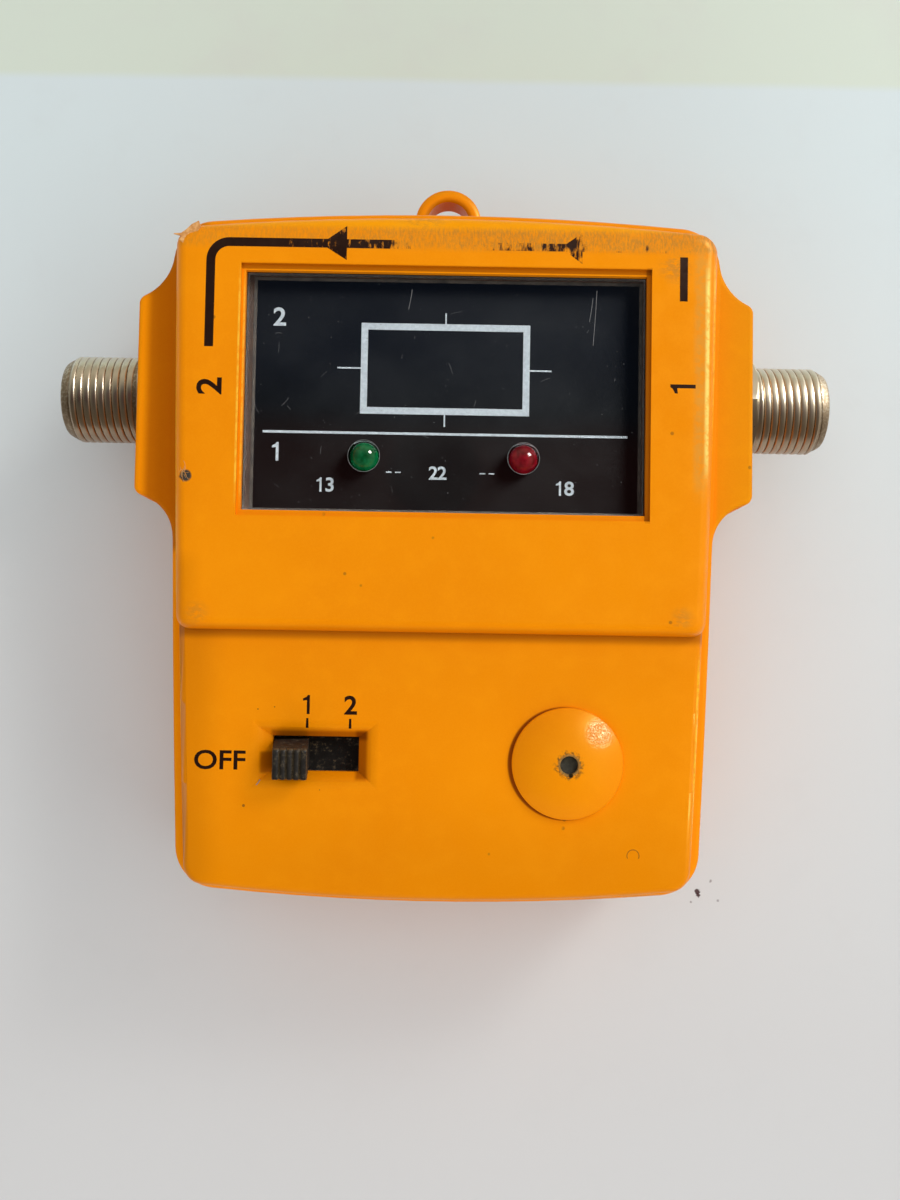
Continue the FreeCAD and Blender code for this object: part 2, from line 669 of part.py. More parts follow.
def mirrored(piece):
    """A piece of the outline on the other side of the centre line."""
    middle, start, end, outward, pins = piece
    turned_pins = [(kind, point, -size if kind == "DistanceX" else size) for kind, point, size in pins]
    return flip(middle), flip(end), flip(start), outward, turned_pins


def draw_winged(sketch):
    """Draw the case's whole outline with its wings."""
    top, _, bottom, right = case_sides(S["case_half_top"], S["case_half_low"], NOTHING, NOTHING)
    half = winged_half(top, bottom, right)
    first, last = half[0][1], half[-1][2]
    crest = side_piece(top, last, flip(last))
    floor = side_piece(bottom, flip(first), first)
    draw_chain(sketch, half + [crest] + [mirrored(piece) for piece in reversed(half)] + [floor])


def draw_eye(sketch):
    """Draw the hanging eye as a bow whose feet sink into the top wall."""
    foot_y = BODY_TOP - S["wall"] / 2.0
    hole = S["eye_hole"]
    draw(sketch, [(EYE_RADIUS, EYE_Y, EYE_RADIUS), (NOTHING, EYE_Y + EYE_RADIUS, EYE_RADIUS),
                  (-EYE_RADIUS, EYE_Y, None), (-EYE_RADIUS, foot_y, None), (-hole, foot_y, None),
                  (-hole, EYE_Y, -hole), (NOTHING, EYE_Y + hole, -hole),
                  (hole, EYE_Y, None), (hole, foot_y, None), (EYE_RADIUS, foot_y, None)])


def boss_spots():
    """The four case screws."""
    top_x, low_x = S["case_half_top"] - S["boss_in_top"], S["case_half_low"] - S["boss_in_low"]
    top = [(top_x * side, BODY_TOP - S["boss_top_down"]) for side in SIDES]
    return top + [(low_x * side, BODY_LOW + S["boss_low_up"]) for side in SIDES]


def post_spots():
    """The four board screws."""
    top = [(S["post_x_top"] * side, BODY_TOP - S["post_top_down"]) for side in SIDES]
    return top + [(S["post_x_low"] * side, SLOT_Y + S["post_above_slot"]) for side in SIDES]


def draw_circles(sketch, spots, radius):
    """Draw one circle on every spot."""
    for x, y in spots:
        draw_circle(sketch, x, y, radius)


def half_shell(body, floor, outer_round):
    """Raise one half of the case and its wings from the parting plane to its outer level."""
    down = floor.value < PART_Z.value
    height = PART_Z - floor if down else floor - PART_Z
    case = new_sketch(body, body.Name + "_case", PART_Z)
    draw_winged(case)
    pad(body, case, height, down)
    fillet(body, outer_round, level(floor))
    chamfer(body, S["seam_chamfer"], level(PART_Z))
    eye = new_sketch(body, body.Name + "_eye", PART_Z)
    draw_eye(eye)
    pad(body, eye, S["eye_half_thick"], down)


def hollow(body, depth, wing_depth, up):
    """Cut the room inside one half of the case and inside its wings."""
    wall = S["wall"]
    room = new_sketch(body, body.Name + "_room", PART_Z)
    draw_case(room, S["case_half_top"] - wall, S["case_half_low"] - wall, wall, wall, S["case_corner"] - wall)
    pocket(body, room, depth, up)
    rooms = new_sketch(body, body.Name + "_wing_rooms", PART_Z)
    outer = WING_HALF - S["wing_wall"]
    inner = S["case_half_low"] - wall
    for side in SIDES:
        left, right = sorted((inner * side, outer * side), key=number_of)
        draw_box(rooms, left, AXIS_Y - S["wing_room"] / 2.0, right, AXIS_Y + S["wing_room"] / 2.0)
    pocket(body, rooms, wing_depth, up)


def cut_seats(body):
    """Cut the hexagonal seats that hold the connectors in the wings' outer walls."""
    for side in SIDES:
        face = WING_HALF * side
        seat = new_sketch(body, "%s_seat_%s" % (body.Name, "right" if side > 0 else "left"), face, "YZ_Plane")
        draw_hexagon(seat, AXIS_Y, PART_Z, S["hex_flat"] + S["thin_gap"] * 2.0)
        pocket(body, seat, S["wing_wall"], side < 0)


def build_front_shell():
    """Front half of the case with its decks, window, switch slot and posts."""
    body = new_body("front_shell")
    half_shell(body, LEDGE_Z, S["ledge_round"])
    lower = new_sketch(body, "lower_deck", LEDGE_Z)
    draw_case(lower, DECK_HALF_TOP, DECK_HALF_LOW, S["ledge_top"], S["ledge_low"], S["deck_corner"])
    pad(body, lower, LOW_Z - LEDGE_Z)
    fillet(body, S["edge_round"], level(LOW_Z))
    upper = new_sketch(body, "upper_deck", LEDGE_Z)
    lap = S["deck_lap"]
    draw_case(upper, DECK_HALF_TOP + lap, DECK_HALF_LOW + lap, S["ledge_top"] - lap, S["ledge_low"] - lap,
              S["deck_corner"], STEP_Y)
    pad(body, upper, TOP_Z - LEDGE_Z)
    fillet(body, S["upper_round"], level(TOP_Z))
    hollow(body, CEILING_Z - PART_Z, LEDGE_Z - S["wall"] - PART_Z, True)
    cut_window(body)
    cut_switch_slot(body)
    spigot = new_sketch(body, "spigot_hole", LOW_Z)
    draw_circle(spigot, CAP_X, CAP_Y, S["cap_spigot"] + S["fit_gap"])
    pocket(body, spigot, S["wall"])
    bosses = new_sketch(body, "front_bosses", CEILING_Z)
    draw_circles(bosses, boss_spots(), S["boss_radius"])
    pad(body, bosses, CEILING_Z - PART_Z, True)
    posts = new_sketch(body, "posts", CEILING_Z)
    draw_circles(posts, post_spots(), S["post_radius"])
    pad(body, posts, CEILING_Z - BOARD_TOP, True)
    boss_holes = new_sketch(body, "front_boss_holes", PART_Z)
    draw_circles(boss_holes, boss_spots(), S["case_screw"] + S["screw_gap"])
    pocket(body, boss_holes, SCREW_TOP + S["fit_gap"] - PART_Z, True)
    post_holes = new_sketch(body, "post_holes", BOARD_TOP)
    draw_circles(post_holes, post_spots(), S["post_screw"] + S["screw_gap"])
    pocket(body, post_holes, S["board_z"] + S["post_screw_len"] + S["fit_gap"] - BOARD_TOP, True)
    cut_seats(body)
    return body


def cut_window(body):
    """Cut the stepped recess that holds the lens, and the opening behind it."""
    gap = S["fit_gap"] * 2.0
    bezel = new_sketch(body, "bezel", TOP_Z)
    draw_middle_box(bezel, NOTHING, WINDOW_Y, S["lens_w"] + gap + S["bezel_w"] * 2.0,
                    S["lens_h"] + gap + S["bezel_h"] * 2.0)
    pocket(body, bezel, S["bezel_drop"])
    seat = new_sketch(body, "lens_seat", TOP_Z)
    draw_middle_box(seat, NOTHING, WINDOW_Y, S["lens_w"] + gap, S["lens_h"] + gap)
    pocket(body, seat, TOP_Z - PANEL_LOW)
    opening = new_sketch(body, "window_opening", TOP_Z)
    rim = S["window_rim"] * 2.0
    draw_middle_box(opening, NOTHING, WINDOW_Y, S["lens_w"] - rim, S["lens_h"] - rim)
    pocket(body, opening, TOP_Z - CEILING_Z)


def cut_switch_slot(body):
    """Cut the switch slot and the funnel that leads the finger to it."""
    slot = new_sketch(body, "slot", LOW_Z)
    draw_middle_box(slot, SLOT_X, SLOT_Y, S["slot_w"], S["slot_h"])
    pocket(body, slot, S["wall"])
    mouth = new_sketch(body, "funnel_mouth", LOW_Z)
    draw_middle_box(mouth, SLOT_X, SLOT_Y, S["slot_w"] + S["funnel_w"] * 2.0,
                    S["slot_h"] + S["funnel_h"] * 2.0)
    throat = new_sketch(body, "funnel_throat", LOW_Z - S["funnel_deep"])
    draw_middle_box(throat, SLOT_X, SLOT_Y, S["slot_w"], S["slot_h"])
    before = body.Shape.Volume
    funnel = body.newObject("PartDesign::SubtractiveLoft", "funnel")
    funnel.Profile = mouth
    funnel.Sections = [throat]
    DOC.recompute()
    if funnel.Shape.Volume >= before:
        raise RuntimeError("the funnel cuts nothing")


def build_rear_shell():
    """Rear half of the case with its screw bosses and the ribs that carry the tray."""
    body = new_body("rear_shell")
    half_shell(body, NOTHING, S["back_round"])
    hollow(body, PART_Z - S["wall"], PART_Z - S["wall"], False)
    bosses = new_sketch(body, "rear_bosses", S["wall"])
    draw_circles(bosses, boss_spots(), S["boss_radius"])
    pad(body, bosses, PART_Z - S["wall"])
    ribs = new_sketch(body, "ribs", S["wall"])
    for side in SIDES:
        draw_middle_box(ribs, S["rib_x"] * side, AXIS_Y, S["rib_thick"], S["tray_half_wide"] * 2.0)
    pad(body, ribs, S["tray_z"] - S["wall"])
    heads = new_sketch(body, "head_holes", NOTHING)
    draw_circles(heads, boss_spots(), S["case_head"] + S["screw_gap"])
    pocket(body, heads, S["case_head_sink"] + S["case_head_high"], True)
    shanks = new_sketch(body, "shank_holes", NOTHING)
    draw_circles(shanks, boss_spots(), S["case_screw"] + S["screw_gap"])
    pocket(body, shanks, PART_Z, True)
    cut_seats(body)
    return body


def block(name, left, low, bottom, width, height, thick):
    """A plain box from its lower left corner."""
    box = DOC.addObject("Part::Box", name)
    for path, size in (("Length", width), ("Width", height), ("Height", thick)):
        tie(box, path, size)
    place(box, left, low, bottom)
    return box


def middle_block(name, x, y, bottom, width, height, thick):
    """A plain box round its middle."""
    return block(name, x - width / 2.0, y - height / 2.0, bottom, width, height, thick)


def rod(name, x, y, bottom, radius, height):
    """An upright cylinder."""
    cylinder = DOC.addObject("Part::Cylinder", name)
    tie(cylinder, "Radius", radius)
    tie(cylinder, "Height", height)
    place(cylinder, x, y, bottom)
    return cylinder


def cut(label, base, tools):
    """One object less others."""
    result = DOC.addObject("Part::Cut", label)
    result.Base = base
    result.Tool = tools[0] if len(tools) == 1 else group(label + "_tools", tools)
    result.Label = label
    return result


def group(label, pieces):
    """Several separate solids under one name."""
    result = DOC.addObject("Part::Compound", label)
    result.Links = pieces
    result.Label = label
    return result


def turned(label, profile, x, y, z, turn=None):
    """A turned piece, drawn along X with its radius on Y, then set down and turned."""
    body = new_body(label)
    sketch = new_sketch(body, label + "_profile")
    draw(sketch, profile)
    spin(body, sketch)
    if turn is not None:
        body.Placement = FreeCAD.Placement(FreeCAD.Vector(0, 0, 0), turn)
    place(body, x, y, z)
    return body


def build_lens():
    """Clear lens with a hole for each lamp."""
    plate = middle_block("lens_plate", NOTHING, WINDOW_Y, LENS_LOW, S["lens_w"], S["lens_h"], S["lens_thick"])
    return cut("window_lens", plate, lamp_holes("lens_hole", LENS_LOW, S["lens_thick"]))


def lamp_holes(name, bottom, thick):
    """Two rods that cut the holes for the lamps."""
    radius = S["led_radius"] + S["led_gap"]
    return [rod(name, S["led_spread"] * side, LED_Y, bottom, radius, thick) for side in SIDES]


def build_panel():
    """Printed panel under the lens, with the same holes."""
    inset = S["panel_inset"] * 2.0
    thick = S["panel_thick"]
    plate = middle_block("panel_plate", NOTHING, WINDOW_Y, PANEL_LOW, S["lens_w"] - inset,
                         S["lens_h"] - inset, thick)
    return cut("legend_panel", plate, lamp_holes("panel_hole", PANEL_LOW, thick))


def build_lamps():
    """Two 3 mm lamps on their legs."""
    foot = LENS_TOP + S["led_proud"] - S["led_height"]
    radius = S["led_radius"]
    straight = S["led_height"] - radius
    profile = [(NOTHING, NOTHING, None), (S["led_height"], NOTHING, radius), (straight, radius, None),
               (S["led_flange_thick"], radius, None), (S["led_flange_thick"], S["led_flange"], None),
               (NOTHING, S["led_flange"], None)]
    lamps = [turned("led_green", profile, -S["led_spread"], LED_Y, foot, UPWARD),
             turned("led_red", profile, S["led_spread"], LED_Y, foot, UPWARD)]
    tail = S["board_z"] - S["pin_tail"]
    legs = [middle_block("led_leg", x, LED_Y, tail, S["lead_side"], S["lead_side"], foot - tail)
            for x in lamp_leg_places()]
    return lamps + [group("led_leads", legs)]


def lamp_leg_places():
    """Where the four lamp legs stand."""
    half = S["lead_spacing"] / 2.0
    return [S["led_spread"] * lamp + half * side for lamp in SIDES for side in SIDES]


def build_cap():
    """Domed sounder cap: a turned shell with a spigot and a sound hole."""
    rise = S["cap_rise"]
    skirt = S["cap_skirt"]
    radius = S["cap_radius"]
    hole = S["cap_hole"]
    wall = S["cap_wall"]
    dome = (radius * radius + rise * rise) / (rise * 2.0)
    crest = skirt + rise - dome
    top = crest + square_root(dome * dome - hole * hole)
    inner = dome - wall
    roof = crest + square_root(inner * inner - hole * hole)
    bore = S["cap_spigot"] - wall
    ceiling = crest + square_root(inner * inner - bore * bore)
    spigot = -S["wall"]
    return turned("sounder_cap", [
        (top, hole, -dome), (skirt, radius, None), (NOTHING, radius, None), (NOTHING, S["cap_spigot"], None),
        (spigot, S["cap_spigot"], None), (spigot, bore, None), (ceiling, bore, inner), (roof, hole, None),
    ], CAP_X, CAP_Y, LOW_Z, UPWARD)


def build_sounder():
    """Piezo sounder with its port, and its two pins."""
    top = CEILING_Z - S["sounder_gap"]
    port_floor = top - S["sounder_port_deep"]
    can = rod("sounder_can", CAP_X, CAP_Y, BOARD_TOP, S["sounder_radius"], top - BOARD_TOP)
    port = rod("sounder_port_tool", CAP_X, CAP_Y, port_floor, S["sounder_port"], S["sounder_port_deep"])
    tail = S["board_z"] - S["pin_tail"]
    pins = [middle_block("sounder_pin", x, CAP_Y, tail, S["pin_side"], S["pin_side"], BOARD_TOP - tail)
            for x in sounder_pin_places()]
    return [cut("sounder", can, [port]), group("sounder_pins", pins)]


def sounder_pin_places():
    """Where the two sounder pins stand."""
    return [CAP_X + S["sounder_pin_x"] * side for side in SIDES]


def switch_pin_places():
    """Where the four switch pins stand."""
    return [SLOT_X + S["pin_pitch"] * (count - 0.5) for count in SWITCH_PINS]


def build_knob():
    """Ribbed knob on its slider plate, at the left end of its travel."""
    body = new_body("switch_knob")
    plate = new_sketch(body, "slider_plate", SLIDER_LOW)
    draw_middle_box(plate, KNOB_REST, SLOT_Y, S["slider_w"], SLIDER_H)
    pad(body, plate, S["slider_thick"])
    stem = new_sketch(body, "knob_stem", SLIDER_LOW)
    draw_middle_box(stem, KNOB_REST, SLOT_Y, S["knob_w"], S["knob_h"])
    top = LOW_Z + S["knob_proud"]
    pad(body, stem, top - SLIDER_LOW)
    grooves = new_sketch(body, "knob_grooves", top)
    for count in KNOB_GROOVES:
        groove_x = KNOB_REST + S["groove_pitch"] * float(count)
        draw_middle_box(grooves, groove_x, SLOT_Y, S["groove_w"], S["knob_h"])
    pocket(body, grooves, S["groove_deep"])
    return body


def build_switch():
    """Slide switch: folded frame, base, wiper and pins round the knob."""
    frame_low = BOARD_TOP
    shell = middle_block("frame_shell", SLOT_X, SLOT_Y, frame_low, FRAME_W, S["frame_h"],
                         FRAME_TOP - frame_low)
    room = middle_block("frame_room", SLOT_X, SLOT_Y, frame_low, FRAME_W - S["sheet"] * 2.0,
                        S["frame_h"] - S["sheet"] * 2.0, FRAME_TOP - frame_low - S["sheet"])
    slot = middle_block("frame_slot", SLOT_X, SLOT_Y, FRAME_TOP - S["sheet"], S["slot_w"], S["slot_h"],
                        S["sheet"])
    frame = cut("switch_frame", shell, [room, slot])
    inside = S["sheet"] * 2.0 + S["thin_gap"] * 2.0
    base = middle_block("switch_base", SLOT_X, SLOT_Y, BOARD_TOP, FRAME_W - inside, S["frame_h"] - inside,
                        SWITCH_BASE_TOP - BOARD_TOP)
    base.Label = "switch_base"
    wiper = middle_block("switch_wiper", KNOB_REST, SLOT_Y, SLIDER_LOW - S["wiper_thick"],
                         S["wiper_w"], S["wiper_h"], S["wiper_thick"])
    wiper.Label = "switch_wiper"
    tail = S["board_z"] - S["pin_tail"]
    pins = [middle_block("switch_pin", x, SLOT_Y, tail, S["pin_side"], S["pin_side"], BOARD_TOP - tail)
            for x in switch_pin_places()]
    return [frame, base, wiper, group("switch_pins", pins)]


def pin_holes(name, spots, bottom, side):
    """Square holes through a board for soldered pins."""
    hole = side + S["pin_gap"] * 2.0
    return [middle_block(name, x, y, bottom, hole, hole, S["board_thick"]) for x, y in spots]


def link_spots():
    """The pins that join the two boards."""
    return [(S["link_pitch"] * float(count), LINK_Y) for count in LINK_PINS]


def build_control_board():
    """Circuit board that carries the lamps, the switch and the sounder."""
    body = new_body("control_board")
    outline = new_sketch(body, "board_outline", S["board_z"])
    half, notch = S["case_half_low"] - S["wall"] - S["board_side_gap"], S["notch_half"]
    high, low = BODY_TOP - S["board_top_down"], BODY_LOW + S["board_low_up"]
    shoulder, hip = BODY_TOP - S["notch_top_down"], BODY_LOW + S["notch_low_up"]
    waist = WINDOW_Y - S["waist_down"]
    steps = [(-notch, high), (-notch, shoulder), (-INNER_HALF, shoulder), (-INNER_HALF, waist),
             (-half, waist), (-half, hip), (-notch, hip), (-notch, low)]
    mirrored = [(-x, y) for x, y in reversed(steps)]
    draw(outline, [(x, y, None) for x, y in steps + mirrored])
    pad(body, outline, S["board_thick"])
    screws = new_sketch(body, "board_screw_holes", S["board_z"])
    draw_circles(screws, post_spots(), S["post_screw"] + S["screw_gap"])
    pocket(body, screws, S["board_thick"], True)
    holes = new_sketch(body, "board_pin_holes", S["board_z"])
    gap = S["pin_gap"] * 2.0
    switch = [(x, SLOT_Y) for x in switch_pin_places()]
    sounder = [(x, CAP_Y) for x in sounder_pin_places()]
    for x, y in switch + sounder + link_spots():
        draw_middle_box(holes, x, y, S["pin_side"] + gap, S["pin_side"] + gap)
    for x in lamp_leg_places():
        draw_middle_box(holes, x, LED_Y, S["lead_side"] + gap, S["lead_side"] + gap)
    pocket(body, holes, S["board_thick"], True)
    return body


def build_screw(name, x, y, z, head, head_high, shank, shank_len):
    """A round-headed screw, pointing up from its head."""
    return turned(name, [(NOTHING, NOTHING, None), (head_high + shank_len, NOTHING, None),
                         (head_high + shank_len, shank, None), (head_high, shank, None),
                         (head_high, head, None), (NOTHING, head, None)], x, y, z, UPWARD)


def build_screws():
    """The four board screws and the four case screws."""
    foot = S["board_z"] - S["post_head_high"]
    sizes = [S[name] for name in ("post_head", "post_head_high", "post_screw", "post_screw_len")]
    board = [build_screw("board_screw_%d" % index, x, y, foot, *sizes)
             for index, (x, y) in enumerate(post_spots(), start=1)]
    foot = S["case_head_sink"]
    sizes = [S[name] for name in ("case_head", "case_head_high", "case_screw", "case_screw_len")]
    case = [build_screw("case_screw_%d" % index, x, y, foot, *sizes)
            for index, (x, y) in enumerate(boss_spots(), start=1)]
    return [group("board_screws", board), group("case_screws", case)]


def build_connector(label, turn):
    """Threaded socket: barrel, shank, hexagon, neck and thread round an open bore."""
    hex_in = HEX_OUT - S["hex_len"]
    chamfer_size = S["tip_chamfer"]
    thread = S["thread_radius"]
    neck_end = HEX_OUT + S["neck_len"]
    bore = S["bore_radius"]
    body = turned(label, [
        (BARREL_END, bore, None), (TIP_X, bore, None), (TIP_X, thread - chamfer_size, None),
        (TIP_X - chamfer_size, thread, None), (neck_end, thread, None), (neck_end, S["neck_radius"], None),
        (HEX_OUT, S["neck_radius"], None), (hex_in, S["neck_radius"], None),
        (hex_in, S["shank_radius"], None), (S["tray_half"], S["shank_radius"], None),
        (S["tray_half"], S["barrel_radius"], None), (BARREL_END, S["barrel_radius"], None),
    ], NOTHING, AXIS_Y, PART_Z, turn)
    hexagon = new_sketch(body, label + "_hexagon", HEX_OUT, "YZ_Plane")
    draw_hexagon(hexagon, NOTHING, NOTHING, S["hex_flat"])
    draw_circle(hexagon, NOTHING, NOTHING, (bore + S["shank_radius"]) / 2.0)
    pad(body, hexagon, S["hex_len"], True)
    return body


def build_socket(side, name):
    """One connector with its insulator, spring contact, washer and nut."""
    turn = LEFTWARD if side < 0 else None
    gap = S["thin_gap"]
    contact = S["contact_radius"]
    mouth = TIP_X - S["mouth_deep"]
    insulator = turned("insulator_" + name, [
        (BARREL_END, contact + gap, None), (mouth, contact + gap, None),
        (mouth, S["bore_radius"] - gap, None), (BARREL_END, S["bore_radius"] - gap, None)],
        NOTHING, AXIS_Y, PART_Z, turn)
    tail = BARREL_END - S["contact_tail"]
    bore_end = mouth - S["contact_bore_deep"]
    pin = turned("contact_" + name, [
        (tail, NOTHING, None), (bore_end, NOTHING, None), (bore_end, S["contact_bore"], None),
        (mouth, S["contact_bore"], None), (mouth, contact, None), (tail, contact, None)],
        NOTHING, AXIS_Y, PART_Z, turn)
    inner = S["barrel_radius"] + gap
    washer_in = TRAY_INNER - S["washer_thick"]
    washer = turned("washer_" + name, [
        (washer_in, inner, None), (TRAY_INNER, inner, None), (TRAY_INNER, S["washer_radius"], None),
        (washer_in, S["washer_radius"], None)], NOTHING, AXIS_Y, PART_Z, turn)
    nut = new_body("nut_" + name)
    outline = new_sketch(nut, "nut_outline_" + name, washer_in, "YZ_Plane")
    draw_hexagon(outline, NOTHING, NOTHING, S["nut_flat"])
    draw_circle(outline, NOTHING, NOTHING, inner)
    pad(nut, outline, S["nut_thick"], True)
    if turn is not None:
        nut.Placement = FreeCAD.Placement(FreeCAD.Vector(0, 0, 0), turn)
    place(nut, NOTHING, AXIS_Y, PART_Z)
    return [build_connector("connector_" + name, turn), insulator, pin, washer, nut]


def build_tray():
    """Screening tray, folded from tinned sheet, with end walls that hold the connectors."""
    body = new_body("rf_tray")
    sheet = S["tray_sheet"]
    half = S["tray_half"]
    wide = S["tray_half_wide"]
    outline = new_sketch(body, "tray_outline", S["tray_z"])
    draw_box(outline, -half, AXIS_Y - wide, half, AXIS_Y + wide)
    pad(body, outline, S["tray_rim"] - S["tray_z"])
    ears = new_sketch(body, "tray_ears", S["tray_rim"])
    for side in SIDES:
        left, right = sorted((half * side, (half - sheet) * side), key=number_of)
        draw_box(ears, left, AXIS_Y - S["ear_half"], right, AXIS_Y + S["ear_half"])
    room = new_sketch(body, "tray_room", S["tray_rim"])
    draw_box(room, sheet - half, AXIS_Y - wide + sheet, half - sheet, AXIS_Y + wide - sheet)
    pocket(body, room, S["tray_rim"] - S["tray_z"] - sheet)
    pad(body, ears, S["ear_z"] - S["tray_rim"])
    pads = new_sketch(body, "tray_pads", S["tray_z"] + sheet)
    spots = [(S["pad_x"] * x, AXIS_Y + S["pad_y"] * y) for x in SIDES for y in SIDES]
    draw_circles(pads, spots, S["pad_radius"])
    pad(body, pads, RF_LOW - S["tray_z"] - sheet)
    for side in SIDES:
        name = "tray_hole_right" if side > 0 else "tray_hole_left"
        hole = new_sketch(body, name, half * side, "YZ_Plane")
        draw_circle(hole, AXIS_Y, PART_Z, S["barrel_radius"] + S["thin_gap"])
        pocket(body, hole, sheet, side < 0)
    return body


def build_radio():
    """Radio board, screening lid, and the header that joins the boards."""
    inner = S["tray_half_wide"] - S["tray_sheet"] - S["rf_board_gap"]
    plate = middle_block("rf_plate", NOTHING, AXIS_Y, RF_LOW, INNER_HALF * 2.0, inner * 2.0, S["board_thick"])
    board = cut("rf_board", plate, pin_holes("rf_pin_hole", link_spots(), RF_LOW, S["pin_side"]))
    block_w = S["link_pitch"] * float(len(LINK_PINS))
    sleeve = middle_block("link_sleeve", NOTHING, LINK_Y, RF_TOP, block_w, S["link_pitch"], S["link_block"])
    hole = S["pin_side"] + S["pin_gap"] * 2.0
    bores = [middle_block("link_bore", x, y, RF_TOP, hole, hole, S["link_block"])
             for x, y in link_spots()]
    link_low = RF_LOW - S["pin_tail"] / 2.0
    pins = [middle_block("link_pin", x, y, link_low, S["pin_side"], S["pin_side"], BOARD_TOP - link_low)
            for x, y in link_spots()]
    cover = middle_block("lid_plate", NOTHING, AXIS_Y, S["tray_rim"], INNER_HALF * 2.0,
                         S["tray_half_wide"] * 2.0, S["tray_sheet"])
    window = middle_block("lid_window", NOTHING, LINK_Y, S["tray_rim"], block_w + S["link_hole"],
                          S["link_pitch"] + S["link_hole"], S["tray_sheet"])
    return [board, cut("link_block", sleeve, bores), group("link_pins", pins), cut("rf_lid", cover, [window])]


def build_small_parts():
    """Chip, capacitors and coupler on the control board, chokes on the radio board."""
    chip = middle_block("chip", NOTHING, WINDOW_Y - S["chip_drop"], BOARD_TOP, S["chip_w"], S["chip_h"],
                        S["chip_thick"])
    chip.Label = "chip"
    row = WINDOW_Y - S["chip_drop"] - S["capacitor_drop"]
    side = S["capacitor_side"]
    capacitors = [middle_block("capacitor", S["capacitor_pitch"] * float(count), row, BOARD_TOP,
                               S["capacitor_len"], side, side) for count in CAPACITORS]
    patch = middle_block("coupler_patch", NOTHING, WINDOW_Y + S["patch_up"], BOARD_TOP,
                         S["patch_w"], S["patch_h"], S["patch_thick"])
    patch.Label = "coupler_patch"
    half = S["choke_len"] / 2.0
    radius = S["choke_radius"]
    outline = [(-half, NOTHING, None), (half, NOTHING, None), (half, radius, None), (-half, radius, None)]
    chokes = [turned("choke_right" if side > 0 else "choke_left", outline, S["choke_x"] * side, AXIS_Y,
                     RF_TOP + radius) for side in SIDES]
    return [chip, group("capacitors", capacitors), patch, group("chokes", chokes)]


def build_all():
    """Every sub-part, in the order in which the meter goes together."""
    pieces = [build_front_shell(), build_rear_shell(), build_lens(), build_panel()]
    pieces += build_lamps()
    pieces += [build_cap()]
    pieces += build_sounder()
    pieces += [build_knob()]
    pieces += build_switch()
    pieces += [build_control_board()]
    pieces += build_screws()
    for side, name in zip(SIDES, ("right", "left")):
        pieces += build_socket(side, name)
    pieces += [build_tray()]
    pieces += build_radio()
    pieces += build_small_parts()
    return pieces


def check_and_export(pieces):
    """Stop on any failed object, then write each sub-part to its own file."""
    DOC.recompute()
    for item in DOC.Objects:
        if "Invalid" in item.State or "Error" in item.State:
            raise RuntimeError("%s failed: %s" % (item.Name, item.State))
    for piece in pieces:
        if piece.Shape.isNull() or not piece.Shape.isValid():
            raise RuntimeError(piece.Label + " is not a valid shape")
    os.makedirs("parts", exist_ok=True)
    for piece in pieces:
        piece.Shape.exportStep("parts/%s.step" % piece.Label)
        print("%-16s %2d solids %9.1f mm3" % (piece.Label, len(piece.Shape.Solids), piece.Shape.Volume))


check_and_export(build_all())
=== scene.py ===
"""Looks of the hand-held satellite signal meter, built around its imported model.

Lengths are written in millimetres and turned into metres where they reach Blender.
X runs to the right, Y up the face towards the hanging eye, Z out of the face.
"""

import random
from math import ceil, cos, degrees, dist, pi, radians, sin, sqrt, tau

import bmesh
import bpy
from mathutils import Matrix, Vector


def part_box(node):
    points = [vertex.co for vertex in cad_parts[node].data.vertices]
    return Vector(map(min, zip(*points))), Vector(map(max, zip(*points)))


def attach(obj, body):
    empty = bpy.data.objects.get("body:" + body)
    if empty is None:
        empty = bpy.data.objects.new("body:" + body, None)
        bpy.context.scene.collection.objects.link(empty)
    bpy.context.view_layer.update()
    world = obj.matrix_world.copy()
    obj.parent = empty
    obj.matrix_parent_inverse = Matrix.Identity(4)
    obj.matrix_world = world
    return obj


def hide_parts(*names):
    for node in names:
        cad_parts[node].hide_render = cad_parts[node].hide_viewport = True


MM = 0.001

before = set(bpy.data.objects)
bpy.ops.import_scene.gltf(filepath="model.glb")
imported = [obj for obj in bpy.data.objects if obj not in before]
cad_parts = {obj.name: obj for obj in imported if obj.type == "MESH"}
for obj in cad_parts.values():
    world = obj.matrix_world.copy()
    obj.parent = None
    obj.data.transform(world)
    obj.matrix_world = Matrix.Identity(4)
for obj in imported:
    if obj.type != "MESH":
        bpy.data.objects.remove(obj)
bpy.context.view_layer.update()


def box_mm(node):
    """The lowest and highest corner of a CAD node, in millimetres."""
    low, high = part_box(node)
    return Vector(low) / MM, Vector(high) / MM


LENS_LOW, LENS_HIGH = box_mm("window_lens")
PANEL_Z = box_mm("legend_panel")[1].z
KNOB_LOW, KNOB_HIGH = box_mm("switch_knob")
CAP_LOW, CAP_HIGH = box_mm("sounder_cap")
SOCKET_LOW, SOCKET_HIGH = box_mm("connector_right")
SCREWS_LOW, SCREWS_HIGH = box_mm("case_screws")

TOP_Z = 24.5
LOW_Z = 22.9
AXIS = (SOCKET_LOW + SOCKET_HIGH) / 2
KNOB = (KNOB_LOW + KNOB_HIGH) / 2
CAP = (CAP_LOW + CAP_HIGH) / 2
WINDOW_Y = (LENS_LOW.y + LENS_HIGH.y) / 2
SLOT_X, SLOT_Y = -12.7, -23.695
MOUTH_X, MOUTH_Y = 5.75, 2.75
LAMP_X, LAMP_Y = 8.26, 7.125
EYE_Y, EYE_MIDDLE, EYE_ROUND = 35.225, 2.99, 0.66


def add_object(name, data):
    """Put a new object into the scene."""
    made = bpy.data.objects.new(name, data)
    bpy.context.scene.collection.objects.link(made)
    return made


# Camera

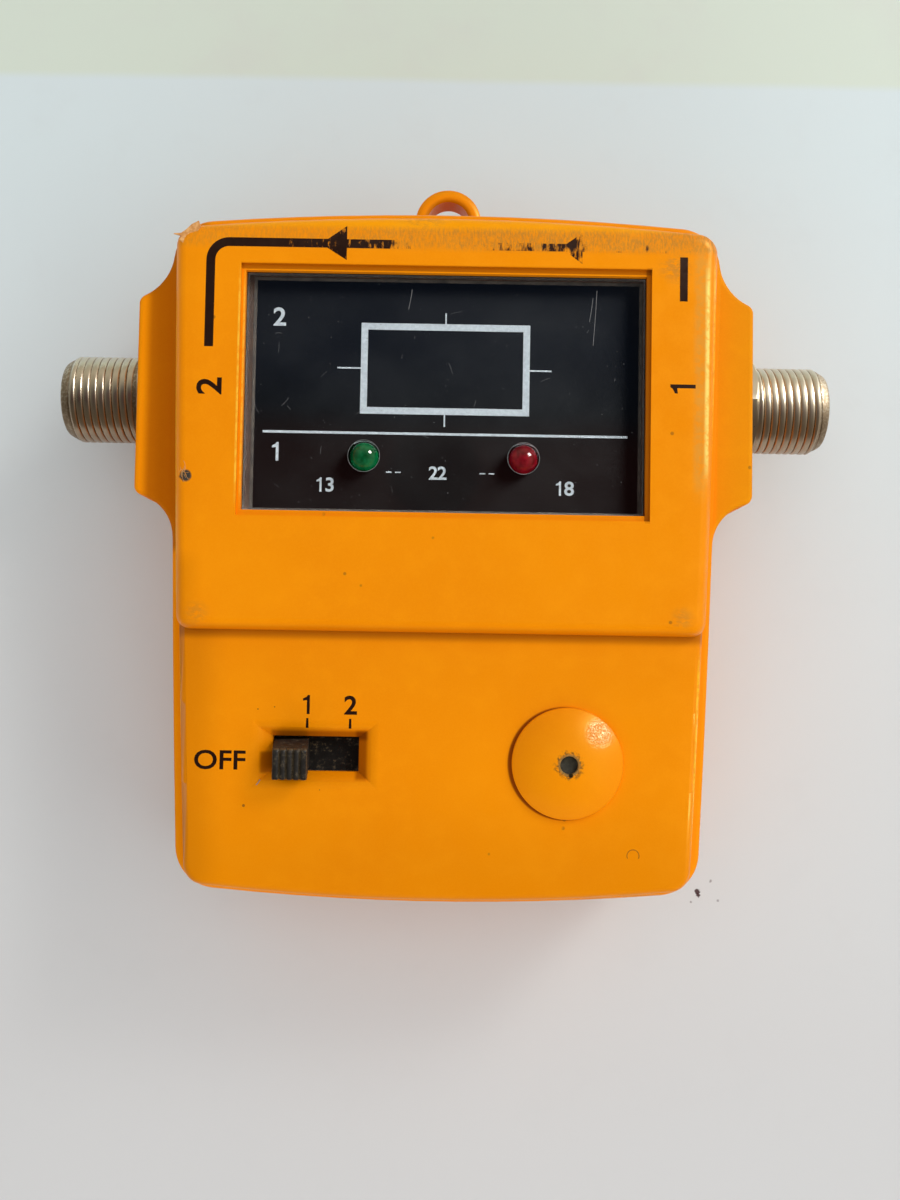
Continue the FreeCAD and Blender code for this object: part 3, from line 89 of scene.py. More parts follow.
CAMERA_PLACE = (0.91, -13.4, 146.5)
CAMERA_TILT = radians(2.68)
CAMERA_ROLL = radians(0.98)


def add_camera():
    """The photograph's camera: straight above, tilted and rolled a little."""
    data = bpy.data.cameras.new("camera")
    data.sensor_width = 36
    data.lens = 36
    data.clip_start = 0.005
    camera = add_object("camera", data)
    turn = Matrix.Rotation(CAMERA_TILT, 4, "X") @ Matrix.Rotation(CAMERA_ROLL, 4, "Z")
    camera.matrix_world = Matrix.Translation(Vector(CAMERA_PLACE) * MM) @ turn
    bpy.context.scene.camera = camera


# Nodes

class Signal:
    """A node's output. Plain arithmetic with it adds math nodes."""

    def __init__(self, net, socket):
        self.net = net
        self.socket = socket

    def __add__(self, other):
        return self.net.sum("ADD", self, other)

    def __sub__(self, other):
        return self.net.sum("SUBTRACT", self, other)

    def __rsub__(self, other):
        return self.net.sum("SUBTRACT", other, self)

    def __mul__(self, other):
        return self.net.sum("MULTIPLY", self, other)

    def __abs__(self):
        return self.net.sum("ABSOLUTE", self)


class Net:
    """Short ways to add nodes to one node tree."""

    def __init__(self, tree):
        self.tree = tree

    def feed(self, socket, value):
        """Link a signal, or set the socket to a plain number or colour."""
        if isinstance(value, Signal):
            self.tree.links.new(value.socket, socket)
        elif isinstance(value, tuple) and socket.type == "RGBA":
            socket.default_value = (*value, 1)
        elif value is not None:
            socket.default_value = value

    def node(self, kind, output, inputs, **settings):
        """Add a node and return one of its outputs."""
        node = self.tree.nodes.new("ShaderNode" + kind)
        for name, value in settings.items():
            setattr(node, name, value)
        for name, value in inputs.items():
            self.feed(node.inputs[name], value)
        return Signal(self, node.outputs[output])

    def parts(self, vector):
        """The three parts of a vector."""
        first = self.node("SeparateXYZ", 0, {0: vector})
        return [Signal(self, socket) for socket in first.socket.node.outputs]

    def sum(self, kind, *terms, clamp=False):
        """A math node."""
        return self.node("Math", 0, dict(enumerate(terms)), operation=kind, use_clamp=clamp)

    def reach(self, x, y):
        """The length of a way with two parts."""
        return self.sum("SQRT", x * x + y * y)

    def span(self, value, low, high, to_low=0.0, to_high=1.0, way="SMOOTHSTEP"):
        """A value's way from low to high, turned into another range."""
        inputs = {"Value": value, "From Min": low, "From Max": high, "To Min": to_low, "To Max": to_high}
        return self.node("MapRange", "Result", inputs, interpolation_type=way)

    def rise(self, value, low, high, to_low=0.0, to_high=1.0):
        """The same between two lengths in millimetres."""
        return self.span(value, low * MM, high * MM, to_low, to_high)

    def fall(self, value, low, high):
        """1 up to a length in millimetres and 0 from another on."""
        return self.rise(value, low, high, 1.0, 0.0)

    def band(self, value, low, high, soft):
        """1 between two lengths in millimetres, with soft edges."""
        return self.rise(value, low - soft, low) * self.fall(value, high, high + soft)

    def ramp(self, value, stops):
        """A colour or grey that runs through stops."""
        made = self.node("ValToRGB", 0, {0: value})
        elements = made.socket.node.color_ramp.elements
        while len(elements) < len(stops):
            elements.new(0.5)
        for element, (position, colour) in zip(elements, stops):
            element.position = position
            element.color = (*colour, 1) if isinstance(colour, tuple) else (colour, colour, colour, 1)
        return made

    def mix(self, share, first, second, kind="MIX"):
        """A share of the second colour over the first."""
        inputs = {"Factor": share, 6: first, 7: second}
        return self.node("Mix", 2, inputs, data_type="RGBA", blend_type=kind)

    def by_ray(self, ray, first, second):
        """The second shader for one kind of ray, and the first for the others."""
        return self.node("MixShader", 0, {0: self.node("LightPath", ray, {}), 1: first, 2: second})


class Look(Net):
    """A material's nodes, with the place on the object in metres."""

    def __init__(self, name):
        self.made = bpy.data.materials.new(name)
        self.made.use_nodes = True
        super().__init__(self.made.node_tree)
        self.shader = next(node for node in self.tree.nodes if node.type == "BSDF_PRINCIPLED")
        self.place = self.node("TexCoord", "Object", {})
        self.x, self.y, self.z = self.parts(self.place)

    def noise(self, scale, detail=3.0, rough=0.55):
        """Noise at one scale, or at a scale for each axis."""
        place = self.place
        if isinstance(scale, tuple):
            place = self.node("Mapping", 0, {"Vector": place, "Scale": scale})
            scale = 1.0
        inputs = {"Vector": place, "Scale": scale, "Detail": detail, "Roughness": rough}
        return self.node("TexNoise", "Fac", inputs)

    def bump(self, height, distance, strength=1.0, normal=None):
        """Bump whose height of 1 stands for a distance in millimetres."""
        inputs = {"Height": height, "Distance": distance * MM, "Strength": strength, "Normal": normal}
        return self.node("Bump", 0, inputs)

    def spot(self, x, y, inner, outer, ragged=0.0):
        """1 within a radius of a place on the face and 0 past another."""
        return self.fall(self.reach(self.x - x * MM, self.y - y * MM) + ragged, inner, outer)

    def field(self, parts, x0, x1, y0, y1, z0, z1, soft, fade):
        """1 inside a box in millimetres, with soft edges and ends."""
        sides = self.band(parts[0], x0, x1, soft) * self.band(parts[1], y0, y1, fade)
        return sides * self.band(parts[2], z0, z1, 0.15)

    def finish(self, colour, rough, normal=None, **values):
        """Link what varies, set what doesn't, and return the material."""
        values.update(Base_Color=colour, Roughness=rough, Normal=normal)
        for name, value in values.items():
            self.feed(self.shader.inputs[name.replace("_", " ")], value)
        return self.made


# Light

LAMP_FAR = 800
DAY = (1.0, 0.985, 0.95)
# Lamps: name, azimuth, elevation, width, height, power, colour. Only glossy surfaces see the first
LAMPS = (
    ("window_glint", 38, 30, 280, 320, 9.0, DAY),
    ("window_pane", 42, 36, 150, 170, 0.9, DAY),
    ("window", 42, 34, 340, 330, 0.8, DAY),
    ("right_wall", -4, 42, 760, 360, 1.45, DAY),
    ("ceiling", 85, 82, 900, 440, 0.9, (0.98, 0.99, 1.0)),
    ("front_wall", 265, 25, 1000, 300, 1.75, (1.0, 0.985, 0.96)),
)


def add_lights():
    """Soft rectangular lamps that face the meter."""
    for index, (name, azimuth, elevation, width, height, power, colour) in enumerate(LAMPS):
        data = bpy.data.lights.new(name, "AREA")
        data.shape = "RECTANGLE"
        data.size = width * MM
        data.size_y = height * MM
        data.energy = power
        data.color = colour
        lamp = add_object(name, data)
        a, e = radians(azimuth), radians(elevation)
        way = Vector((cos(e) * cos(a), cos(e) * sin(a), sin(e)))
        lamp.location = way * LAMP_FAR * MM
        lamp.rotation_euler = way.to_track_quat("Z", "Y").to_euler()
        lamp.visible_glossy = index == 0
        lamp.visible_diffuse = index > 0


def add_room():
    """An even pale room, which glossy surfaces see graded."""
    world = bpy.data.worlds.new("room")
    bpy.context.scene.world = world
    world.use_nodes = True
    world.node_tree.nodes.clear()
    net = Net(world.node_tree)
    x, y, z = net.parts(net.node("TexCoord", "Generated", {}))
    level = net.ramp(z, [
        (0.0, (0.34, 0.3, 0.23)), (0.35, (0.56, 0.5, 0.39)), (0.72, (0.4, 0.36, 0.29)),
        (0.89, (0.2, 0.185, 0.155)), (0.955, (0.05, 0.052, 0.06)), (1.0, (0.032, 0.042, 0.068))])
    seen = net.mix(1.0, level, net.span(x * 0.45 + y, -0.7, 0.7, 0.3, 1.0), "MULTIPLY")
    brown = net.span(y, 0.165, 0.195, 1.0, 0.0) * net.span(z, 0.95, 0.965)
    seen = net.mix(brown, seen, (0.085, 0.03, 0.028))
    away = net.reach(x + 0.015, y - 0.152)
    spot = net.span(away, 0.034, 0.042, 1.0, 0.0) * net.span(z, 0.9, 0.92)
    seen = net.mix(spot, seen, (0.012, 0.014, 0.018))
    room = net.node("Background", 0, {"Color": (0.51, 0.515, 0.525)})
    shown = net.node("Background", 0, {"Color": seen})
    output = net.tree.nodes.new("ShaderNodeOutputWorld")
    net.feed(output.inputs["Surface"], net.by_ray("Is Glossy Ray", room, shown))


# The orange moulding

ORANGE = (0.935, 0.28, 0.0)
ORANGE_DEEP = (0.9, 0.258, 0.0)
ORANGE_LIGHT = (0.97, 0.305, 0.0)
ORANGE_GRAIN = (0.98, 0.345, 0.004)
ORANGE_SIDE = (0.8, 0.215, 0.0)
SHEEN_TINT = (1.0, 0.74, 0.14)
SHEEN = {"IOR": 1.45, "Specular_Tint": SHEEN_TINT, "Specular_IOR_Level": 0.42}
DIRT = (0.14, 0.055, 0.01)
SMUDGE = (0.37, 0.17, 0.03)
# Painted shadow of the sounder cap, in a crescent on the deck at its left
CAP_SHADOW = (0.3, 0.17, 0.06)

# Multipliers for painted shade, then tints for painted highlights along edges and, last, a rubbed dusty band
# of real wear
SHADE = (0.5, 0.4, 0.2)
SHADE_DIM = (0.8, 0.79, 1.0)
WING_SHADE = (0.86, 1.0, 1.0)
HIGHLIGHT_PALE = (1.0, 0.86, 0.22)
HIGHLIGHT_YELLOW = (1.0, 0.64, 0.03)
GLINT = (1.0, 0.56, 0.05)
RUBBED = (0.66, 0.3, 0.045)
END_FADE = 4.0

# Zones of painted shade, and one of painted light along the top edge: X from and to, Y from and to, Z from
# and to, softness, strength, tint
LIGHT_AND_SHADE_ZONES = (
    # Painted shadow of the deck on the left wing, and painted shade that dims the lit right wing
    (-30.9, -26, -2.2, 31.5, 20, 21.3, 1.1, 0.82, SHADE),
    (29, 34, -5, 33, 20, 21.3, 0.5, 0.8, WING_SHADE),
    # Painted shade in the crease under the step
    (-27.5, 27.5, -11.25, -11, 22, 23.3, 0.95, 0.8, SHADE),
    (-27.5, 27.5, -11.6, -11, 23.2, 24.6, 0.75, 0.45, SHADE),
    # Painted shade that darkens the lower deck below the step, towards its bottom and its left, and the upper
    # deck's lower left
    (-29, 29, -12, -10, 21.6, 23, 9, 0.15, SHADE_DIM),
    (-30, 30, -40, -36.6, 21.6, 23, 12, 0.55, SHADE_DIM),
    (-30, -25.4, -40, -12, 21.6, 23, 4.2, 0.8, SHADE_DIM),
    (-30, -26.6, -12, -5, 24, 24.6, 2.5, 0.6, SHADE_DIM),
    # Painted shade on the switch funnel's top and right walls, and the knob's painted shadow on its left wall
    (-17, -7.6, -21.95, -21.5, 21.5, 22.86, 0.5, 0.95, SHADE),
    (-8.3, -7.6, -26, -21.5, 21.5, 22.86, 0.5, 0.95, SHADE),
    (-18.1, -17, -25.5, -23.7, 21.5, 22.86, 0.4, 1, SHADE),
    # Painted light along the top edge
    (-28, 28, 31, 34, 22, 24.7, 0.8, 1, (1.05, 1.25, 1)),
    # Painted shade on the window bezel's right step and top wall
    (20.7, 21.2, 0.5, 26.9, 23, 24.42, 0.05, 0.85, SHADE),
    (-21.2, 21.2, 26.35, 26.85, 23, 24.42, 0.05, 0.8, SHADE),
)
# Painted highlights along edges, and one rubbed band of real wear, in the same columns
EDGE_HIGHLIGHTS_AND_WEAR = (
    (26.84, 27.02, 8, 24.5, 24, 24.6, 0.24, 0.85, HIGHLIGHT_PALE),
    (27.68, 27.84, 6, 25, 22.5, 24.4, 0.1, 0.55, HIGHLIGHT_YELLOW),
    (26, 26.55, 6, 27, 24, 24.6, 0.7, 0.55, RUBBED),
    (-21.37, -21.22, 5, 23, 24, 24.6, 0.06, 0.8, GLINT),
    (-20.95, -20.8, 5, 23, 23, 24.4, 0.05, 0.75, GLINT),
)
# Painted highlights along the slanted sides, X as it is at the middle of the length
SIDE_HIGHLIGHTS = (
    (27.03, 27.18, -31, -16, 21.6, 22.95, 0.15, 0.65, HIGHLIGHT_YELLOW),
    (-27.5, -27.3, -33, -16, 21.6, 22.9, 0.12, 0.8, HIGHLIGHT_YELLOW),
    (-27.5, -27.32, -6, 26, 22.5, 24.4, 0.12, 0.45, HIGHLIGHT_YELLOW),
)
# Smudges: place, size, strength
MARKS = ((23.6, 27.0, 2.4, 0.7), (-24.9, -9.4, 1.7, 0.45), (24.6, -9.2, 1.6, 0.55), (-2.4, 31.0, 3.5, 0.5))
CHIP = (-26.4, 4.62)
DECK_HALF = 26.78
DECK_TAPER = 0.028
DECK_END = -38.0
SHOULDER = 2.6


def paint_tint(net, mottle, grain):
    """Mottled orange, deeper on the sides, with zones of painted shade and painted light, painted highlights
    and a worn band along edges, and painted shade in the hanging eye.
    """
    colour = net.mix(net.span(net.noise(45, 2), 0.35, 0.68), ORANGE_DEEP, ORANGE)
    colour = net.mix(net.span(mottle, 0.45, 0.75, 0.0, 0.35), colour, ORANGE_LIGHT)
    colour = net.mix(net.span(grain, 0.42, 0.62, 0.0, 0.14), colour, ORANGE_GRAIN)
    colour = net.mix(net.fall(net.z, 19.6, 20.6) * net.fall(net.y, 33.4, 34.0), colour, ORANGE_SIDE)
    straight = (net.x, net.y, net.z)
    for *box, soft, share, tint in LIGHT_AND_SHADE_ZONES:
        colour = net.mix(net.field(straight, *box, soft, soft) * share, colour, tint, "MULTIPLY")
    fleck = net.span(net.noise(1500, 4, 0.65), 0.36, 0.58, 0.35, 1.0)
    slanted = (net.y * -DECK_TAPER * net.sum("SIGN", net.x) + net.x, net.y, net.z)
    # Painted highlights along edges, broken up by fleck, and one rubbed band of real wear
    for spots, parts in ((EDGE_HIGHLIGHTS_AND_WEAR, straight), (SIDE_HIGHLIGHTS, slanted)):
        for *box, soft, share, tint in spots:
            colour = net.mix(net.field(parts, *box, soft, END_FADE) * share * fleck, colour, tint)
    # Painted shade on the inner wall of the hanging eye
    inner = net.spot(0, EYE_Y, 2.42, 2.95) * net.rise(net.y, 33.4, 34.2)
    return net.mix(inner * 0.7, colour, SHADE, "MULTIPLY")


def paint_grime(net):
    """Fine dirt along the top band and in a few marks, and specks."""
    smear = net.noise((170, 520, 60), 5, 0.65)
    rub = net.noise((1500, 2600, 900), 5, 0.65)
    hatch = net.noise((4200, 1300, 900), 5, 0.7)
    high = net.rise(net.z, 22.0, 22.6)
    grime = net.band(net.y, 29.0, 30.3, 0.9) * high * net.span(smear, 0.34, 0.56, 0.55, 1.0)
    grime = grime * net.span(hatch, 0.38, 0.64, 0.22, 1.0) * net.rise(net.x, -16, 2, 0.5, 0.95)
    for x, y, size, share in MARKS:
        mark = net.spot(x, y, 0.1, size) * share * net.span(smear * rub, 0.18, 0.3)
        grime = net.sum("MAXIMUM", grime, mark * high)
    cells = net.node("TexVoronoi", "Distance", {"Vector": net.place, "Scale": 360})
    specks = net.span(cells, 0.045, 0.09, 1.0, 0.0) * net.span(net.noise(150, 1), 0.6, 0.63)
    return grime, specks


def deck_inside(net):
    """How far a place lies inside the decks' sides and bottom end."""
    from_side = net.y * DECK_TAPER + DECK_HALF * MM - abs(net.x)
    return net.sum("MINIMUM", from_side, net.y - DECK_END * MM)


def paint_crown(net, inside, normal):
    """Soft shoulders on the decks, the switch funnel's mouth and the hanging eye."""
    near = net.sum("MAXIMUM", inside * (-1 / (SHOULDER * MM)) + 1.0, 0.0)
    near = net.sum("MINIMUM", near, 1.6)
    normal = net.bump(near * near, -0.2, 1.0, normal)
    past_x = abs(net.x - SLOT_X * MM) - MOUTH_X * MM
    past = net.sum("MAXIMUM", past_x, abs(net.y - SLOT_Y * MM) - MOUTH_Y * MM)
    outer = net.span(past, 0.0, 0.9 * MM, 1.0, 0.0, "LINEAR")
    inner = net.span(past, -0.6 * MM, 0.0, 0.0, 1.0, "LINEAR")
    normal = net.bump(outer * outer * -0.2 + inner * inner * -0.108, 1.0, 1.0, normal)
    across = net.reach(net.x, net.y - EYE_Y * MM) * (1 / (EYE_ROUND * MM)) - EYE_MIDDLE / EYE_ROUND
    across = net.sum("MINIMUM", across * across, 1.2)
    return net.bump(across * net.rise(net.y, 33.5, 33.9), -0.26, 1.0, normal)


def paint_looks(net):
    """Colour, roughness and bump of the moulding, the same on every piece."""
    mottle = net.noise(420, 3)
    grain = net.noise(5200, 2)
    colour = paint_tint(net, mottle, grain)
    grime, specks = paint_grime(net)
    colour = net.mix(grime * 0.72, colour, SMUDGE)
    # Painted shadow of the sounder cap's skirt, a crescent on the deck at its left
    cap_shadow = net.spot(CAP.x - 0.32, CAP.y - 0.03, 5.66, 5.9) * net.band(net.z, 22.5, 22.93, 0.03)
    colour = net.mix(cap_shadow, colour, CAP_SHADOW, "MULTIPLY")
    colour = net.mix(specks * 0.55, colour, DIRT)
    chip = net.spot(*CHIP, 0.62, 0.86, net.noise(2600, 2) * (0.3 * MM)) * net.rise(net.z, 22.0, 22.6)
    chip_colour = net.mix(net.noise(6000, 2), (0.01, 0.011, 0.014), (0.09, 0.085, 0.08))
    colour = net.mix(chip, colour, chip_colour)
    inside = deck_inside(net)
    rough = net.span(mottle, 0.3, 0.7, 0.3, 0.4) + grime * 0.25
    rough = net.sum("MAXIMUM", rough, net.rise(inside, -1.0, -0.2, 0.85, 0.3))
    normal = net.bump(net.noise(1100, 2), 0.006, 0.55)
    normal = net.bump(grain, 0.004, 0.5, normal)
    normal = net.bump(chip, -0.08, 0.8, normal)
    return colour, rough, paint_crown(net, inside, normal)


def make_paint():
    """Orange moulding."""
    net = Look("case_orange")
    return net.finish(*paint_looks(net), **SHEEN)


def make_cap_paint():
    """The moulding of the sounder cap, with grime round its hole, painted shade in a notch at its edge and a
    rubbed patch.
    """
    net = Look("cap_orange")
    colour, _, normal = paint_looks(net)
    ragged = net.span(net.noise(2300, 3), 0.3, 0.7) * (0.55 * MM)
    grime = net.spot(CAP.x, CAP.y, 1.15, 1.85, ragged) * net.span(net.noise(4200, 3), 0.3, 0.56)
    colour = net.mix(grime, colour, (0.09, 0.045, 0.015))
    tan = net.mix(net.noise(3000, 2), (0.22, 0.11, 0.03), (0.42, 0.23, 0.07))
    colour = net.mix(net.spot(CAP.x, CAP.y, 1.02, 1.22) * 0.8, colour, tan)
    # Painted shade in a small notch at the edge of the hole
    notch_shade = net.spot(CAP.x + 0.16, CAP.y - 1.03, 0.16, 0.3)
    colour = net.mix(notch_shade, colour, (0.012, 0.008, 0.006))
    rub = net.span(net.noise((2600, 3600, 3000), 3, 0.7), 0.36, 0.64)
    rubbed = net.spot(CAP.x + 3.2, CAP.y + 3.2, 0.8, 2.0)
    normal = net.bump(rub * rubbed, 0.03, 1.0, normal)
    tint = net.mix(rubbed, SHEEN_TINT, (1.0, 0.97, 0.7))
    rough = (1.0 - rubbed) * 0.22 + 0.12
    return net.finish(colour, rough, normal, IOR=1.5, Specular_Tint=tint, Specular_IOR_Level=0.5)


# How far the print along the top edge has worn, from left to right
WEAR = [(0.0, 0.06), (0.17, 0.3), (0.25, 0.43), (0.33, 0.36), (0.43, 0.6), (0.57, 0.54), (0.7, 0.5),
        (0.745, 0.42), (0.775, 0.6), (0.92, 0.62), (0.94, 0.38), (1.0, 0.3)]


def make_ink():
    """Black print, worn through to the orange along the top edge."""
    net = Look("ink_black")
    paint, rough, normal = paint_looks(net)
    wear = net.ramp(net.span(net.x, -27 * MM, 27 * MM, 0.0, 1.0, "LINEAR"), WEAR)
    wear = wear * net.rise(net.y, 24.0, 28.0, 0.25, 1.0)
    texture = net.noise((2600, 700, 700), 4, 0.62) * 0.6 + net.noise(700, 3) * 0.4
    gone = net.sum("MULTIPLY_ADD", wear - texture, 9.0, 0.5, clamp=True)
    ink = net.mix(net.noise(3000, 2), (0.01, 0.003, 0.002), (0.022, 0.008, 0.005))
    sheen = {**SHEEN, "Specular_Tint": net.mix(gone, (1.0, 0.62, 0.45), SHEEN_TINT)}
    return net.finish(net.mix(gone, ink, paint), rough, normal, **sheen)


# Other materials

def make_film():
    """Dark printed film under the lens: blue-black above, brown-black below."""
    net = Look("film_black")
    cloud = net.noise(90, 3)
    fine = net.noise(3200, 3)
    tone = net.ramp(net.rise(net.y + cloud * (4.0 * MM), 4.0, 22.0), [
        (0.0, (0.0125, 0.004, 0.0036)), (0.42, (0.0105, 0.0046, 0.0046)),
        (0.6, (0.0046, 0.0062, 0.01)), (1.0, (0.0038, 0.0074, 0.0175))])
    colour = net.mix(net.span(fine, 0.55, 0.8, 0.0, 0.5), tone, (0.02, 0.022, 0.026))
    return net.finish(colour, net.span(cloud, 0.3, 0.7, 0.42, 0.6), net.bump(fine, 0.003, 0.4))


def make_lens():
    """Clear acrylic with fine streaks and frosted sawn edges, which lets lamps through."""
    net = Look("acrylic_clear")
    from_side = LENS_HIGH.x * MM - abs(net.x)
    from_end = (LENS_HIGH.y - WINDOW_Y) * MM - abs(net.y - WINDOW_Y * MM)
    edge = net.fall(net.sum("MINIMUM", from_side, from_end), 0.02, 0.32)
    streak = net.noise((500, 4200, 500), 3, 0.6)
    rough = net.sum("MAXIMUM", net.span(streak, 0.5, 0.8) * 0.05 + 0.02, edge * 0.45)
    normal = net.bump(streak, 0.0012, 0.5, net.bump(net.noise(5000, 3), 0.0008, 0.4))
    net.finish((0.96, 0.975, 0.985), rough, normal, IOR=1.49, Transmission_Weight=1.0)
    clear = net.node("BsdfTransparent", 0, {"Color": (0.93, 0.95, 0.96)})
    acrylic = Signal(net, net.shader.outputs[0])
    output = next(node for node in net.tree.nodes if node.type == "OUTPUT_MATERIAL")
    net.feed(output.inputs["Surface"], net.by_ray("Is Shadow Ray", acrylic, clear))
    return net.made


def make_dust():
    """Pale dust and scratches."""
    net = Look("dust_pale")
    fine = net.noise(2500, 2)
    colour = net.mix(fine, (0.09, 0.09, 0.092), (0.3, 0.3, 0.305))
    return net.finish(colour, net.span(fine, 0.3, 0.7, 0.6, 0.9))


def make_fine(name, dark, light, top, low, high, height, strength):
    """A matt material with one fine grain, its roughness between low and high."""
    net = Look(name)
    fine = net.noise(2600, 3)
    colour = net.mix(net.span(fine, 0.35, top), dark, light)
    rough = net.span(fine, 0.3, 0.7, low, high)
    return net.finish(colour, rough, net.bump(fine, height, strength))


def make_lamp(name, deep, bright):
    """Tinted, slightly milky lamp plastic."""
    net = Look(name)
    colour = net.mix(net.span(net.noise(900, 3), 0.3, 0.7), deep, bright)
    rough = net.span(net.noise(4000, 2), 0.3, 0.7, 0.04, 0.1)
    normal = net.bump(net.noise(2600, 2), 0.001, 0.4)
    return net.finish(colour, rough, normal, IOR=1.5, Subsurface_Weight=0.45, Subsurface_Scale=1.0,
                      Subsurface_Radius=(0.9 * MM, 0.4 * MM, 0.3 * MM))


def make_black():
    """Black moulded plastic, with painted shade low down and brown dust in the knob's grooves."""
    net = Look("plastic_black")
    fine = net.noise(3800, 3)
    fluff = net.noise(1500, 4, 0.7)
    dusty = net.span(fluff, 0.5, 0.68) * net.span(fine, 0.4, 0.62)
    groove = net.band(net.z, 25.62, 25.94, 0.05) * net.span(fine, 0.35, 0.6, 0.25, 0.8)
    colour = net.mix(fine, (0.0085, 0.0068, 0.0056), (0.02, 0.016, 0.012))
    # Painted shade low down, as deep in the switch slot
    colour = net.mix(net.rise(net.z, 21.0, 22.4, 0.7, 0.0), colour, (0.002, 0.0016, 0.0012))
    colour = net.mix(net.sum("MAXIMUM", dusty, groove) * 0.62, colour, (0.15, 0.105, 0.05))
    rough = net.span(fluff, 0.3, 0.7, 0.42, 0.75)
    return net.finish(colour, rough, net.bump(fine, 0.01, 0.6), Specular_IOR_Level=0.3)


def make_metal(name, light, dark, low, high, grime):
    """Plated metal with tarnish, fine scratches and grime."""
    net = Look(name)
    tarnish = net.noise(260, 4, 0.6)
    fine = net.noise(3200, 3)
    dirt = net.span(tarnish * net.noise(1100, 4, 0.7), 0.22, 0.42)
    colour = net.mix(net.span(tarnish, 0.35, 0.7), light, dark)
    colour = net.mix(dirt * grime, colour, (0.1, 0.065, 0.035))
    rough = net.span(fine, 0.3, 0.7, low, high) + dirt * 0.2
    return net.finish(colour, rough, net.bump(fine, 0.003, 0.5), Metallic=1.0)


def make_nickel():
    """Worn nickel, with brown dirt in the thread, and a lower half made browner as painted shade and
    reflection.
    """
    net = Look("nickel")
    side = net.y - AXIS.y * MM
    tarnish = net.noise(210, 4, 0.6)
    fine = net.noise(3200, 3)
    colour = net.mix(net.span(tarnish, 0.35, 0.7), (0.76, 0.69, 0.56), (0.64, 0.56, 0.43))
    # Painted shade and reflection: the lower half browner
    brown = net.rise(tarnish * (3.0 * MM) + side, -1.5, 2.2, 0.8, 0.0)
    colour = net.mix(brown, colour, (0.37, 0.255, 0.16))
    groove = net.fall(net.reach(side, net.z - AXIS.z * MM), 4.6, 4.72) * net.span(fine, 0.35, 0.55, 0.4, 1.0)
    colour = net.mix(groove * 0.75, colour, (0.24, 0.165, 0.095))
    rough = groove * 0.2 + net.span(tarnish, 0.3, 0.7, 0.26, 0.38)
    return net.finish(colour, rough, net.bump(fine, 0.0016, 0.4), Metallic=1.0)


def make_plain(name, light, dark, scale, low, high, sheen=(1.0, 1.0, 1.0)):
    """A matt material whose colour, roughness and surface vary a little."""
    net = Look(name)
    fine = net.noise(scale * 12, 3)
    colour = net.mix(net.span(net.noise(scale, 4, 0.6), 0.3, 0.7), dark, light)
    rough = net.span(fine, 0.3, 0.7, low, high)
    return net.finish(colour, rough, net.bump(fine, 0.004, 0.6), Specular_Tint=sheen)


def make_board():
    """Green circuit board with paler tracks under its lacquer."""
    net = Look("board_green")
    inputs = {"Vector": net.place, "Scale": 420}
    line = net.node("TexVoronoi", "Distance", inputs, feature="DISTANCE_TO_EDGE")
    line = net.span(line, 0.05, 0.09, 1.0, 0.0)
    weave = net.noise(2600, 2)
    colour = net.mix(weave, (0.008, 0.075, 0.035), (0.012, 0.1, 0.045))
    colour = net.mix(line * 0.6, colour, (0.02, 0.19, 0.08))
    return net.finish(colour, net.span(weave, 0.3, 0.7, 0.3, 0.42), net.bump(line, 0.02, 0.5))


# Crumbs on the floor: place, radius, strength
CRUMBS = ((31.4, -41.3, 0.42, 0.95), (31.5, -41.75, 0.34, 0.95), (33.0, -40.0, 0.26, 0.5),
          (33.9, -42.4, 0.24, 0.5), (30.6, -42.6, 0.22, 0.5))


def make_floor():
    """White sheet, cooler at the top, on a greenish table past its far edge."""
    net = Look("floor_pale")
    broad = net.noise(14, 3)
    sheet = net.ramp(net.span(net.y, -60 * MM, 50 * MM, 0.0, 1.0, "LINEAR"), [
        (0.0, (0.66, 0.66, 0.655)), (0.45, (0.68, 0.71, 0.71)), (1.0, (0.67, 0.755, 0.765))])
    blotch = net.span(net.noise(130, 5, 0.65), 0.5, 0.8, 0.0, 0.08)
    sheet = net.mix(blotch, sheet, (0.54, 0.54, 0.53))
    stain = net.span(net.noise(60, 5, 0.6), 0.45, 0.75, 0.0, 0.35)
    table = net.mix(stain, (0.66, 0.73, 0.63), (0.64, 0.64, 0.6))
    colour = net.mix(net.rise(net.y + broad * (1.2 * MM), 58.2, 59.6), sheet, table)
    ragged = net.noise(3000, 2) * (0.35 * MM)
    for x, y, size, share in CRUMBS:
        crumb = net.spot(x, y, size, size + 0.15, ragged) * share
        colour = net.mix(crumb, colour, (0.055, 0.012, 0.014))
    normal = net.bump(net.noise(2200, 3), 0.01, 0.25)
    return net.finish(colour, net.span(broad, 0.3, 0.7, 0.55, 0.7), normal, Specular_IOR_Level=0.25)


